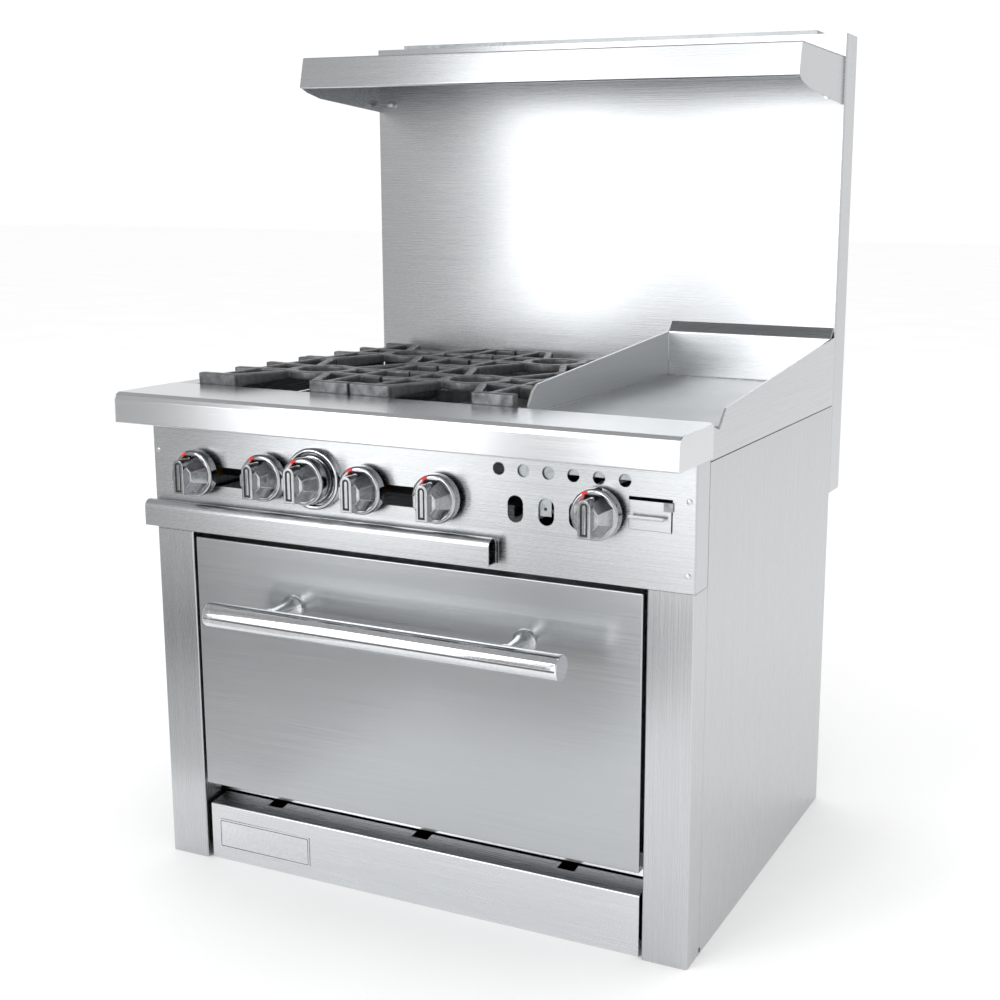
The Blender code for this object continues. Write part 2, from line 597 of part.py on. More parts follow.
def grates():
    """Cast grates: a centre ring, four diagonal arms, corner feet, side fingers."""
    half_x, half_y = GRATE_SIZE[0] / 2, GRATE_SIZE[1] / 2
    low, high = GRATE_Z
    web = (low + 0.008, high)
    width, finger_y, arm_x = 0.016, 0.0425, 0.070
    holders, names = [], []
    for row, y in enumerate(GRATE_Y):
        for column, x in enumerate(GRATE_X):
            name = f"{('front', 'rear')[row]}_{('left', 'right')[column]}_grate"
            names.append(name)
            holders.append(empty(f"{name}_lift", (x, y, low), CABINET))
    cx, cy = GRATE_X[0], GRATE_Y[0]
    first = add(names[0], ring(0.040, 0.056, "Z", (cx, cy, low + 0.010), high - low - 0.010, 16),
                CAST_IRON, holders[0])
    for side in (-1, 1):
        for end in (-1, 1):
            edge_y = cy + end * (half_y - width / 2)
            foot = bar((cx + side * half_x, edge_y), (cx + side * arm_x, edge_y), width, (low, high))
            arm = bar((cx + side * (arm_x + 0.005), edge_y - end * 0.004),
                      (cx + side * 0.034, cy + end * 0.034), width * 0.8, web)
            finger = bar((cx + side * half_x, cy + end * finger_y), (cx + side * 0.040, cy + end * 0.030),
                         width * 0.9, (low, high))
            join(first, [foot])
            join(first, [arm])
            join(first, [finger])
        rail_x, reach = cx + side * 0.098, half_y - 0.004
        rail = bar((rail_x, cy - reach), (rail_x, cy + reach), 0.011, web)
        join(first, [rail])
    for name, holder in zip(names[1:], holders[1:]):
        copy(first, name, holder)


# ---- tray and drawer --------------------------------------------------------------------------------
def crumb_tray():
    """A pan under the burners, pulled by the folded channel across its front."""
    slide = empty("crumb_tray_slide", (-0.149, 0.0, 0.575), CABINET)
    (x0, x1), front = TRAY_X, -0.0045
    low, high = TRAY_Z
    pan = add("crumb_tray", box((x0, x1), (front, TRAY_REAR_Y), (low, high)), STAINLESS, slide)
    inside_y = (front + SHEET, TRAY_REAR_Y - SHEET)
    cut(pan, [box((x0 + SHEET, x1 - SHEET), inside_y, (low + SHEET, high + 0.01))])
    steps, outer, (centre_y, bend_z) = 6, 0.0115, TRAY_BEND
    inner = outer - SHEET
    angles = [math.pi * (1 - i / steps) for i in range(steps + 1)]
    outside = [(centre_y + outer * math.cos(a), bend_z + outer * math.sin(a)) for a in angles]
    within = [(centre_y + inner * math.cos(a), bend_z + inner * math.sin(a)) for a in reversed(angles)]
    lip = ([(outside[0][0], 0.557)] + outside + [(outside[-1][0], 0.557)]
           + [(within[0][0], 0.557)] + within + [(within[-1][0], 0.557)])
    join(pan, [prism(lip, "X", *TRAY_LIP)])


def grease_drawer():
    """A narrow pan under the trough's chute, with a folded pull across its front."""
    slide = empty("grease_drawer_slide", (0.388, 0.0, 0.650), CABINET)
    x0, x1 = DRAWER_X
    low, high = DRAWER_Z
    pan = add("grease_drawer", box((x0, x1), (0.0010, DRAWER_REAR_Y), (low, high - 0.003)), STAINLESS, slide)
    inside = box((x0 + SHEET, x1 - SHEET), (0.0025, DRAWER_REAR_Y - SHEET), (low + SHEET, high + 0.01))
    cut(pan, [inside])
    pull = [(0.0020, 0.6455), (-0.0100, 0.6440), (-0.0100, 0.6495), (-0.0088, 0.6495), (-0.0088, 0.6455),
            (0.0020, 0.6470)]
    join(pan, [prism(pull, "X", x0 + 0.001, x1 - 0.008)])


# ---- knobs ------------------------------------------------------------------------------------------
def knob_shape(name, x, z, skirt, parent):
    """A die-cast knob: round skirt, eight-sided taper, upright grip bar with a groove, blind bore."""
    skirt_profile = ((skirt - 0.016, KNOB_RADIUS - 0.003), (skirt - 0.013, KNOB_RADIUS), (skirt, KNOB_RADIUS))
    knob = add(name, turned(skirt_profile, "Y", (x, 0, z), 28), CHROME, parent)
    taper = ((skirt - 0.040, 0.0190), (skirt - 0.012, 0.0335))
    join(knob, [turned(taper, "Y", (x, 0, z), 8, math.pi / 8)])
    front = skirt - 0.047
    half_width, top, bottom, steps = 0.0095, 0.0265, -0.0265, 6
    arc = [math.pi * i / steps for i in range(steps + 1)]
    grip = [(x + half_width * math.cos(a), z + top - half_width + half_width * math.sin(a)) for a in arc]
    grip += [(x - half_width, z + bottom), (x + half_width, z + bottom)]
    join(knob, [prism(grip, "Y", front, skirt - 0.010)])
    half_groove = 0.0045
    groove = [(x + half_groove * math.cos(a), z + top - half_width + half_groove * math.sin(a)) for a in arc]
    groove += [(x - half_groove, z + bottom - 0.01), (x + half_groove, z + bottom - 0.01)]
    bore_radius = STEM_RADIUS + 0.0005
    bore = turned(((skirt - 0.024, bore_radius), (skirt + 0.01, bore_radius)), "Y", (x, 0, z), 12)
    cut(knob, [prism(groove, "Y", front - 0.01, front + 0.0015), bore])
    return smooth(knob, 20)


def knobs():
    """Six knobs on one mesh, each on an empty at its own stem, plus the bezel behind the oven's."""
    ring_base = (OVEN_KNOB[0], -0.0115, OVEN_KNOB[1])
    bezel = add("thermostat_bezel", ring(0.0315, 0.0465, "Y", ring_base, 0.0112, 32), CHROME)
    smooth(bezel)
    spots = [(f"burner_knob_{i + 1}", x, z, SKIRT_Y) for i, (x, z) in enumerate(BURNER_KNOBS)]
    spots += [("griddle_knob", *GRIDDLE_KNOB, SKIRT_Y), ("oven_knob", *OVEN_KNOB, OVEN_SKIRT_Y)]
    first = None
    for name, x, z, skirt in spots:
        holder = empty(f"{name}_stem", (x, skirt, z), CABINET)
        if first is None:
            first = knob_shape(name, x, z, skirt, holder)
        else:
            copy(first, name, holder)


# ---- door -------------------------------------------------------------------------------------------
def oven_door():
    """Outer skin with deep side flanges, inner panel, gasket and handle, all on the hinge line."""
    hinge = empty("oven_door_hinge_line", (0.0, *DOOR_PIVOT), CABINET)
    low, high = DOOR_Z
    skin = add("door_outer_skin", box((-DOOR_HALF, DOOR_HALF), (0, DOOR_DEPTH), (low, high)), STAINLESS,
               hinge)
    hollow_half = DOOR_HALF - SHEET
    pan_inside = box((-hollow_half, hollow_half), (SHEET, DOOR_DEPTH + 0.01), (low + SHEET, high - SHEET))
    pin_holes = [turned(((-0.01, 0.0062), (0.01, 0.0062)), "X", (x, *DOOR_PIVOT), 16)
                 for x in (-DOOR_HALF, DOOR_HALF)]
    cut(skin, [pan_inside] + pin_holes)
    inner_half = hollow_half - GAP
    panel = box((-inner_half, inner_half), (DOOR_DEPTH - 0.0035, DOOR_DEPTH - 0.0005),
                (low + SHEET + GAP, high - SHEET - GAP))
    add("door_inner_panel", panel, GALVANISED, hinge)
    seal_y = (DOOR_DEPTH, 0.0497)
    seal = add("door_gasket", box((-0.354, 0.354), seal_y, (0.1635, 0.5200)), GASKET, hinge)
    cut(seal, [box((-0.344, 0.344), (0.03, 0.06), (0.1735, 0.5100))])
    y, z = HANDLE_AXIS
    radius, edge = HANDLE_RADIUS, 0.0015
    left, right = HANDLE_X
    tube = ((left, 0), (left, radius - edge), (left + edge, radius), (right - edge, radius),
            (right, radius - edge), (right, 0))
    handle = add("door_handle", turned(tube, "X", (0, y, z), 28), CHROME, hinge)
    hollow = turned(((left + SHEET, radius - SHEET), (right - SHEET, radius - SHEET)), "X", (0, y, z), 28)
    vent = turned(((left - 0.01, 0.002), (left + 0.01, 0.002)), "X", (0, y, z), 8)
    smooth(cut(handle, [hollow, vent]))
    post_front = y + radius + GAP
    post = ((post_front, 0.0125), (post_front + 0.006, 0.0125), (post_front + 0.008, 0.0105),
            (-0.016, 0.0115), (-0.005, 0.0165), (-GAP, 0.0185))
    for x, name in ((-HANDLE_POST_X, "handle_post_left"), (HANDLE_POST_X, "handle_post_right")):
        smooth(add(name, turned(post, "Y", (x, 0, z + 0.001), 20), CHROME, hinge))


def door_hinges():
    """A bracket on the oven frame at each lower corner, with the pin the door turns on."""
    y, z = DOOR_PIVOT
    for side, name in ((-1, "door_hinge_left"), (1, "door_hinge_right")):
        near, far = DOOR_HALF + 0.0005, DOOR_HALF + 0.0050
        span = tuple(sorted((side * near, side * far)))
        bracket = add(name, box(span, (y - 0.010, 0.0500 - GAP), (z - 0.011, z + 0.011)), GALVANISED)
        reach = sorted((side * (DOOR_HALF - 0.014), side * (near + 0.002)))
        join(bracket, [turned(tuple((x, 0.0050) for x in reach), "X", (0, y, z), 12)])


corner_posts()
side_panels()
rear_and_base()
kick_panel()
control_panel()
front_ledge()
top_frame()
griddle()
griddle_burner()
backguard()
high_shelf()
oven_shell()
rack_guides()
oven_rack(empty("oven_rack_slide", (0.0, 0.320, RACK_Z), CABINET))
oven_burner()
manifold()
valves()
open_burners()
grates()
crumb_tray()
grease_drawer()
knobs()
oven_door()
door_hinges()
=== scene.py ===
"""A 36 inch commercial gas range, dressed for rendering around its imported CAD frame."""

import math

import bmesh
import bpy
from mathutils import Matrix, Vector


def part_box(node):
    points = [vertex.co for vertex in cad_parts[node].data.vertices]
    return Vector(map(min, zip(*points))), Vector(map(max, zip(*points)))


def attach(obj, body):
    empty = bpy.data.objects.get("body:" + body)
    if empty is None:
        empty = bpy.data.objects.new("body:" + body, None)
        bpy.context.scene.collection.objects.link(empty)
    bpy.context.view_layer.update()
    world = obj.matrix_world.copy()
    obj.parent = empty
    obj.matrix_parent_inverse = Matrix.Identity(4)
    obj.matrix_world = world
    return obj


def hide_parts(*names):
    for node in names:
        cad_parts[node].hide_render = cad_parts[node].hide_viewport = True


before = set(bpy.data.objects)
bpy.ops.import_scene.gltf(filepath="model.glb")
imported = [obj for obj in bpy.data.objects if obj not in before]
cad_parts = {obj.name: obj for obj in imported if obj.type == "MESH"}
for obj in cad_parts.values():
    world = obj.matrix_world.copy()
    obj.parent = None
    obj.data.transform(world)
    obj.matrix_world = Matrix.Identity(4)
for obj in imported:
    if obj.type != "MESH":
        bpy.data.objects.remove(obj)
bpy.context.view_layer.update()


# ---- studio -------------------------------------------------------------------------------------
# The range stands on a pale floor that runs on out of sight. A broad lamp overhead and two tall
# soft panels in front do the lighting; everything else around it is a soft white room.

def linear(code):
    """An sRGB hex colour as linear RGBA."""
    parts = [int(code[i:i + 2], 16) / 255 for i in (0, 2, 4)]
    return [c / 12.92 if c <= 0.04045 else ((c + 0.055) / 1.055) ** 2.4 for c in parts] + [1.0]


def node(tree, kind, settings=None, **links):
    """Adds a shader node, sets its properties and input values, and links its inputs."""
    made = tree.nodes.new("ShaderNode" + kind)
    for key, value in (settings or {}).items():
        if isinstance(key, int) or key in made.inputs:
            made.inputs[key].default_value = value
        else:
            setattr(made, key, value)
    for key, socket in links.items():
        spot = int(key[1:]) if key[1:].isdigit() else key.replace("_", " ")
        tree.links.new(socket, made.inputs[spot])
    return made


def surface(name):
    """A new material with its node tree and its Principled shader."""
    material = bpy.data.materials.new(name)
    material.use_nodes = True
    return material, material.node_tree, material.node_tree.nodes["Principled BSDF"]


def placed(name, mesh):
    """A mesh as an object in the scene."""
    made = bpy.data.objects.new(name, mesh)
    bpy.context.scene.collection.objects.link(made)
    return made


def two_tones(tree, factor, dark, light, low=0.3, high=0.7):
    """A pattern turned into a colour between two hex values."""
    ramp = node(tree, "ValToRGB", {}, Fac=factor)
    for stop, position, code in zip(ramp.color_ramp.elements, (low, high), (dark, light)):
        stop.position, stop.color = position, linear(code)
    return ramp.outputs["Color"]


FLOOR_HALF = 40.0
plane = bmesh.new()
bmesh.ops.create_grid(plane, x_segments=8, y_segments=8, size=FLOOR_HALF)
floor_mesh = bpy.data.meshes.new("studio_floor")
plane.to_mesh(floor_mesh)
plane.free()
floor = placed("studio_floor", floor_mesh)
painted_board, tree, shader = surface("painted_floor_board")
where = node(tree, "TexCoord").outputs["Object"]
mottle = node(tree, "TexNoise", {"Scale": 1.7, "Detail": 3.0}, Vector=where)
tree.links.new(two_tones(tree, mottle.outputs["Fac"], "FAFAFA", "FDFDFD"), shader.inputs["Base Color"])
shader.inputs["Roughness"].default_value = 0.75
floor_mesh.materials.append(painted_board)

room = bpy.data.worlds.new("white_room")
bpy.context.scene.world = room
room.use_nodes = True
tree = room.node_tree
sky = tree.nodes["Background"]
way = node(tree, "TexCoord").outputs["Generated"]
split = node(tree, "SeparateXYZ", {}, Vector=way)
# The room's walls are white. Bright metal also sees a darker ceiling, which gives it its contrast.
height = node(tree, "MapRange", {"From Min": 0.25, "From Max": 0.62, "To Min": 1.0, "To Max": 0.45},
              Value=split.outputs["Z"])
ray = node(tree, "LightPath").outputs["Is Glossy Ray"]
seen = node(tree, "Mix", {"data_type": "FLOAT", 2: 1.05}, i0=ray, i3=height.outputs["Result"])
tree.links.new(seen.outputs[0], sky.inputs["Strength"])
sky.inputs["Color"].default_value = linear("FFFFFF")


def soft_panel(name, at, aim, size, radiance):
    """A rectangular soft light of a given brightness, turned to face a point."""
    lamp = bpy.data.lights.new(name, "AREA")
    lamp.shape = "RECTANGLE"
    lamp.size, lamp.size_y = size
    lamp.energy = radiance * math.pi * size[0] * size[1]
    holder = placed(name, lamp)
    holder.location = at
    holder.rotation_euler = (Vector(aim) - Vector(at)).to_track_quat("-Z", "Y").to_euler()


soft_panel("overhead_panel", (0.8, 0.4, 4.6), (0.2, 0, 0.5), (2.4, 2.2), 1.5)
soft_panel("left_front_panel", (-3.35, -5.1, 2.5), (-0.2, 0, 1.2), (1.9, 5.0), 3.2)
soft_panel("right_front_panel", (-1.35, -5.7, 2.5), (0, 0, 1.2), (1.2, 5.0), 3.2)


def grey_card(name, at, size, turn, tilt, near, far):
    """A card that shows only in the range's reflections, shaded from one end to the other. A tilt of 90
    degrees stands it up, and 0 lays it flat."""
    bm = bmesh.new()
    bmesh.ops.create_grid(bm, x_segments=1, y_segments=1, size=0.5)
    bm.transform(Matrix.Translation(at) @ Matrix.Rotation(math.radians(turn), 4, "Z")
                 @ Matrix.Rotation(math.radians(tilt), 4, "X") @ Matrix.Diagonal((*size, 1, 1)))
    mesh = bpy.data.meshes.new(name)
    bm.to_mesh(mesh)
    bm.free()
    card = placed(name, mesh)
    paper, tree, shader = surface(name + "_paper")
    where = node(tree, "TexCoord").outputs["Generated"]
    apart = node(tree, "SeparateXYZ", {}, Vector=where)
    fade = node(tree, "MapRange", {"To Min": far, "To Max": near}, Value=apart.outputs["X"])
    glow = node(tree, "Emission", {}, Strength=fade.outputs["Result"])
    tree.links.new(glow.outputs[0], tree.nodes["Material Output"].inputs["Surface"])
    mesh.materials.append(paper)
    card.visible_camera = card.visible_diffuse = card.visible_shadow = False


grey_card("left_card", (-2.05, -1.25, 1.4), (1.9, 2.8), -12, 90, 0.50, 0.20)
grey_card("front_low_card", (-2.90, -2.4, 0.42), (2.2, 0.8), 0, 90, 0.60, 0.30)
grey_card("front_strip_card", (-0.76, -2.4, 0.42), (0.34, 0.8), 0, 90, 0.45, 0.45)
grey_card("near_floor_card", (-1.15, -0.83, 0.004), (1.4, 0.54), 0, 0, 0.85, 0.30)
grey_card("far_floor_card", (-1.1, -1.62, 0.006), (2.1, 1.0), 0, 0, 0.25, 0.15)

EYE = (1.09174, -2.04407, 1.06060)
YAW, PITCH, ROLL = 23.7785, 11.3342, 0.6402
camera = bpy.data.cameras.new("camera")
camera.sensor_width = 36.0
camera.lens = 51.51
camera.shift_x, camera.shift_y = -0.1104, -0.0116
eye = placed("camera", camera)
eye.matrix_world = (Matrix.Translation(EYE) @ Matrix.Rotation(math.radians(YAW), 4, "Z")
                    @ Matrix.Rotation(math.radians(90 - PITCH), 4, "X")
                    @ Matrix.Rotation(math.radians(ROLL), 4, "Z"))
bpy.context.scene.camera = eye
bpy.context.scene.view_settings.view_transform = "Standard"


# ---- base pan and rear panel --------------------------------------------------------------------
# Both are hot-dip galvanised sheet, sheared to size. The rear panel is punched for the gas pipe
# and the flue, has rows of pressed louvres to cool the cabinet, and is screwed on round its edge.

SHEET = 0.0015


def zinc_coat(name, dark, light, roughness):
    """Galvanised sheet: grey zinc crystals, each a slightly different shade and gloss."""
    material, tree, shader = surface(name)
    where = node(tree, "TexCoord").outputs["Object"]
    # Spangle crystals about 9 mm across, with the streaks left by the dip.
    crystal = node(tree, "TexVoronoi", {"Scale": 1 / 0.009, "Randomness": 1.0}, Vector=where)
    cloud = node(tree, "TexNoise", {"Scale": 14.0, "Detail": 4.0}, Vector=where)
    blend = node(tree, "Mix", {"data_type": "FLOAT", 0: 0.45}, i2=crystal.outputs["Color"],
                 i3=cloud.outputs["Fac"])
    tree.links.new(two_tones(tree, blend.outputs[0], dark, light, 0.2, 0.8), shader.inputs["Base Color"])
    gloss = node(tree, "MapRange", {"To Min": roughness - 0.08, "To Max": roughness + 0.10},
                 Value=crystal.outputs["Color"])
    tree.links.new(gloss.outputs["Result"], shader.inputs["Roughness"])
    bump = node(tree, "Bump", {"Strength": 0.12, "Distance": 0.0002}, Height=blend.outputs[0])
    tree.links.new(bump.outputs["Normal"], shader.inputs["Normal"])
    shader.inputs["Metallic"].default_value = 1.0
    return material


galvanised_sheet = zinc_coat("galvanised_sheet", "8F9496", "B9BDBF", 0.42)
bright_zinc = zinc_coat("bright_zinc_plating", "CCCFD0", "E4E6E7", 0.20)


def prism(outline, axis, start, end):
    """An outline extruded along an axis. Its two values are the other axes, in X, Y, Z order."""
    bm = bmesh.new()

    def spot(point, along):
        values = list(point)
        values.insert("XYZ".index(axis), along)
        return bm.verts.new(values)

    near, far = [spot(p, start) for p in outline], [spot(p, end) for p in outline]
    bm.faces.new(near)
    bm.faces.new(far)
    for i in range(len(outline)):
        j = (i + 1) % len(outline)
        bm.faces.new((near[i], near[j], far[j], far[i]))
    bmesh.ops.recalc_face_normals(bm, faces=bm.faces)
    return bm


def ease(bm, width, segments=2, angle=30):
    """Rounds every edge that is sharper than an angle."""
    edges = [e for e in bm.edges if e.is_manifold and e.calc_face_angle() > math.radians(angle)]
    bmesh.ops.bevel(bm, geom=edges, offset=width, segments=segments, profile=0.5, affect="EDGES",
                    clamp_overlap=True)
    return bm


def block(low, high, edge=0.0):
    """A block between two corners, with rounded edges."""
    bm = prism([(low[0], low[1]), (high[0], low[1]), (high[0], high[1]), (low[0], high[1])],
               "Z", low[2], high[2])
    return ease(bm, edge) if edge else bm


def disc(u, v, radius, steps=40):
    """A round outline."""
    turns = [math.tau * i / steps for i in range(steps)]
    return [(u + radius * math.cos(a), v + radius * math.sin(a)) for a in turns]


def turned(profile, axis, at, sides=48, phase=0.0):
    """A solid of revolution: (along, radius) points from one end of the axis to the other."""
    bm = bmesh.new()
    rings = []
    for along, radius in profile:
        if radius == 0:
            rings.append([bm.verts.new((0, 0, along))])
            continue
        turns = [phase + math.tau * i / sides for i in range(sides)]
        rings.append([bm.verts.new((radius * math.cos(a), radius * math.sin(a), along)) for a in turns])
    for low, high in zip(rings, rings[1:]):
        for i in range(sides):
            j = i + 1
            corners = [low[i % len(low)], low[j % len(low)], high[j % len(high)], high[i % len(high)]]
            bm.faces.new(list(dict.fromkeys(corners)))
    for end in (rings[0], rings[-1]):
        if len(end) > 1:
            bm.faces.new(end)
    turn = {"X": Matrix.Rotation(math.pi / 2, 4, "Y"), "Y": Matrix.Rotation(-math.pi / 2, 4, "X"),
            "Z": Matrix.Identity(4)}[axis]
    bm.transform(Matrix.Translation(at) @ turn)
    bmesh.ops.recalc_face_normals(bm, faces=bm.faces)
    return bm


def as_mesh(bm, name="shape"):
    mesh = bpy.data.meshes.new(name)
    bm.to_mesh(mesh)
    bm.free()
    return mesh


def together(*parts):
    """Several closed shapes as one."""
    whole = bmesh.new()
    for part in parts:
        shell = as_mesh(part)
        whole.from_mesh(shell)
        bpy.data.meshes.remove(shell)
    return whole


def worked(obj, *steps):
    """Applies modifiers, each a type and its settings, and returns the resulting shape."""
    for kind, settings in steps:
        step = obj.modifiers.new(kind, kind)
        for key, value in settings.items():
            setattr(step, key, value)
    bpy.context.view_layer.update()
    mesh = bpy.data.meshes.new_from_object(obj.evaluated_get(bpy.context.evaluated_depsgraph_get()))
    bpy.data.objects.remove(obj)
    bm = bmesh.new()
    bm.from_mesh(mesh)
    bpy.data.meshes.remove(mesh)
    return bm


def punched(bm, *tools):
    """A shape with others cut out of it."""
    sheet, tool = placed("sheet", as_mesh(bm)), placed("tool", as_mesh(together(*tools)))
    bm = worked(sheet, ("BOOLEAN", {"object": tool, "operation": "DIFFERENCE", "solver": "EXACT",
                                    "use_self": len(tools) > 1}))
    bpy.data.objects.remove(tool)
    return bm


def piece(name, bm, material, body, slot, *stands_for, angle=32):
    """A finished piece: its shape in place, its material, the body it rides on and what it stands for."""
    bmesh.ops.recalc_face_normals(bm, faces=bm.faces)
    mesh = as_mesh(bm, name)
    mesh.materials.append(material)
    mesh.shade_smooth()
    mesh.set_sharp_from_angle(angle=math.radians(angle))
    made = placed(name, mesh)
    even = made.modifiers.new("even_normals", "WEIGHTED_NORMAL")
    even.keep_sharp = True
    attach(made, body)
    if stands_for:
        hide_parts(*stands_for)
    return made


def dressed(name, material, edge=0.0004):
    """A CAD node that stays, with its material and softened edges."""
    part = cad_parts[name]
    part.data.materials.clear()
    part.data.materials.append(material)
    weld = part.modifiers.new("weld", "WELD")
    weld.merge_threshold = 0.00002
    soft = part.modifiers.new("edges", "BEVEL")
    soft.width, soft.segments, soft.limit_method, soft.angle_limit = edge, 2, "ANGLE", math.radians(30)
    return part


# A pan-head screw with a cross recess, 8 mm across, drawn once for every place that has one.
SCREW_RADIUS, SCREW_RISE = 0.0040, 0.0020
dome = [(0.0, SCREW_RADIUS), (SCREW_RISE * 0.45, SCREW_RADIUS)]
dome += [(SCREW_RISE * (0.45 + 0.55 * math.sin(math.radians(t))), SCREW_RADIUS * math.cos(math.radians(t)))
         for t in (25, 50, 70)] + [(SCREW_RISE, 0.0)]
slots = [block((-a, -b, 0.0009), (a, b, 0.004)) for a, b in ((0.0024, 0.00045), (0.00045, 0.0024))]
screw_head = as_mesh(punched(turned(dome, "Z", (0, 0, 0), 24), *slots), "screw_head")


def screws(name, places, normal, material, body, slot):
    """One piece with a screw head at each place."""
    turn = Vector((0, 0, 1)).rotation_difference(Vector(normal)).to_matrix().to_4x4()
    heads = []
    for i, at in enumerate(places):
        head = bmesh.new()
        head.from_mesh(screw_head)
        head.transform(Matrix.Translation(at) @ turn @ Matrix.Rotation(0.7 * i + 0.3, 4, "Z"))
        heads.append(head)
    return piece(name, together(*heads), material, body, slot, angle=40)


dressed("base_pan", galvanised_sheet)

low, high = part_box("rear_panel")
GAS_HOLE, FLUE_HOLE = (-0.425, 0.500, 0.019), ((-0.200, 0.600), (0.200, 0.640))
LOUVRE_SIZE = (0.090, 0.011, 0.0055)
rear_sheet = punched(
    block(low, high, 0.0003),
    prism(disc(*GAS_HOLE), "Y", low.y - 0.01, high.y + 0.01),
    block((FLUE_HOLE[0][0], low.y - 0.01, FLUE_HOLE[0][1]), (FLUE_HOLE[1][0], high.y + 0.01, FLUE_HOLE[1][1])))
louvres = []
for row in range(7):
    for x in (-0.19, -0.06, 0.07, 0.20):
        z = 0.140 + 0.026 * row
        arc = [(high.y + LOUVRE_SIZE[2] * math.sin(t), z + LOUVRE_SIZE[1] * (1 - math.cos(t)) - 0.001)
               for t in (0, 0.4, 0.8, 1.2, math.pi / 2)]
        louvres.append(prism([(high.y - 0.0002, z)] + arc + [(high.y - 0.0002, z + LOUVRE_SIZE[1])], "X",
                             x - LOUVRE_SIZE[0] / 2, x + LOUVRE_SIZE[0] / 2))
piece("rear_sheet", together(rear_sheet, *louvres), galvanised_sheet, "range_body", "galvanised", "rear_panel")
edge_spots = [(x, high.y, z) for x in (low.x + 0.012, high.x - 0.012) for z in (0.03, 0.20, 0.37, 0.54)]
screws("rear_screws", edge_spots + [(x, high.y, 0.012) for x in (-0.25, 0.0, 0.25)], (0, 1, 0),
       bright_zinc, "range_body", "galvanised")


# ---- side panels --------------------------------------------------------------------------------
# Each side is one sheet of 430 stainless with a No. 4 finish, sheared and hung on the frame behind
# the corner post, with its lower front corner nipped off.

def brushed_stainless(name, grain, dark="BDBFC1", light="C5C7C9", roughness=0.27):
    """No. 4 brushed stainless: fine streaks along the grain, a soft gleam drawn out across it."""
    material, tree, shader = surface(name)
    where = node(tree, "TexCoord").outputs["Object"]
    # The belt's scratches are about 0.1 mm wide; they are drawn 0.9 mm wide and 0.2 m long to show.
    fine = [1 / 0.0009] * 3
    fine["XYZ".index(grain)] = 1 / 0.20
    stretched = node(tree, "Mapping", {"Scale": fine}, Vector=where)
    streak = node(tree, "TexNoise", {"Scale": 1.0, "Detail": 2.0}, Vector=stretched.outputs[0])
    broad = node(tree, "TexNoise", {"Scale": 4.0, "Detail": 1.0}, Vector=where)
    tree.links.new(two_tones(tree, streak.outputs["Fac"], dark, light), shader.inputs["Base Color"])
    gloss = node(tree, "MapRange", {"To Min": roughness - 0.03, "To Max": roughness + 0.03},
                 Value=streak.outputs["Fac"])
    tree.links.new(gloss.outputs["Result"], shader.inputs["Roughness"])
    # A rolled sheet is never quite flat: waves 250 mm long and a few hundredths of a millimetre high.
    wave = node(tree, "Bump", {"Strength": 0.35, "Distance": 0.0030}, Height=broad.outputs["Fac"])
    scratch = node(tree, "Bump", {"Strength": 0.03, "Distance": 0.0001}, Height=streak.outputs["Fac"],
                   Normal=wave.outputs["Normal"])
    tree.links.new(scratch.outputs["Normal"], shader.inputs["Normal"])
    across = {"X": (0, 1, 1), "Y": (1, 0, 1), "Z": (1, 1, 0)}[grain]
    gleam = node(tree, "CombineXYZ", dict(zip("XYZ", map(float, across))))
    tree.links.new(gleam.outputs[0], shader.inputs["Tangent"])
    shader.inputs["Anisotropic"].default_value = 0.5
    shader.inputs["Metallic"].default_value = 1.0
    return material


side_sheet_steel = brushed_stainless("brushed_side_sheet", "Z")
for name in ("left_side_panel", "right_side_panel"):
    low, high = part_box(name)
    nip = (0.006, 0.009)
    outline = [(low.y + nip[0], low.z), (high.y, low.z), (high.y, high.z), (low.y, high.z), (low.y, low.z + nip[1]),
               (low.y + nip[0], low.z + nip[1])]
    piece(name.replace("panel", "sheet"), ease(prism(outline, "X", low.x, high.x), 0.0004),
          side_sheet_steel, "range_body", "stainless", name)


# ---- corner posts -------------------------------------------------------------------------------
# A post each side of the door: a press-brake channel of brushed stainless, its face 70 mm wide,
# with one flange back along the side panel and one beside the door.

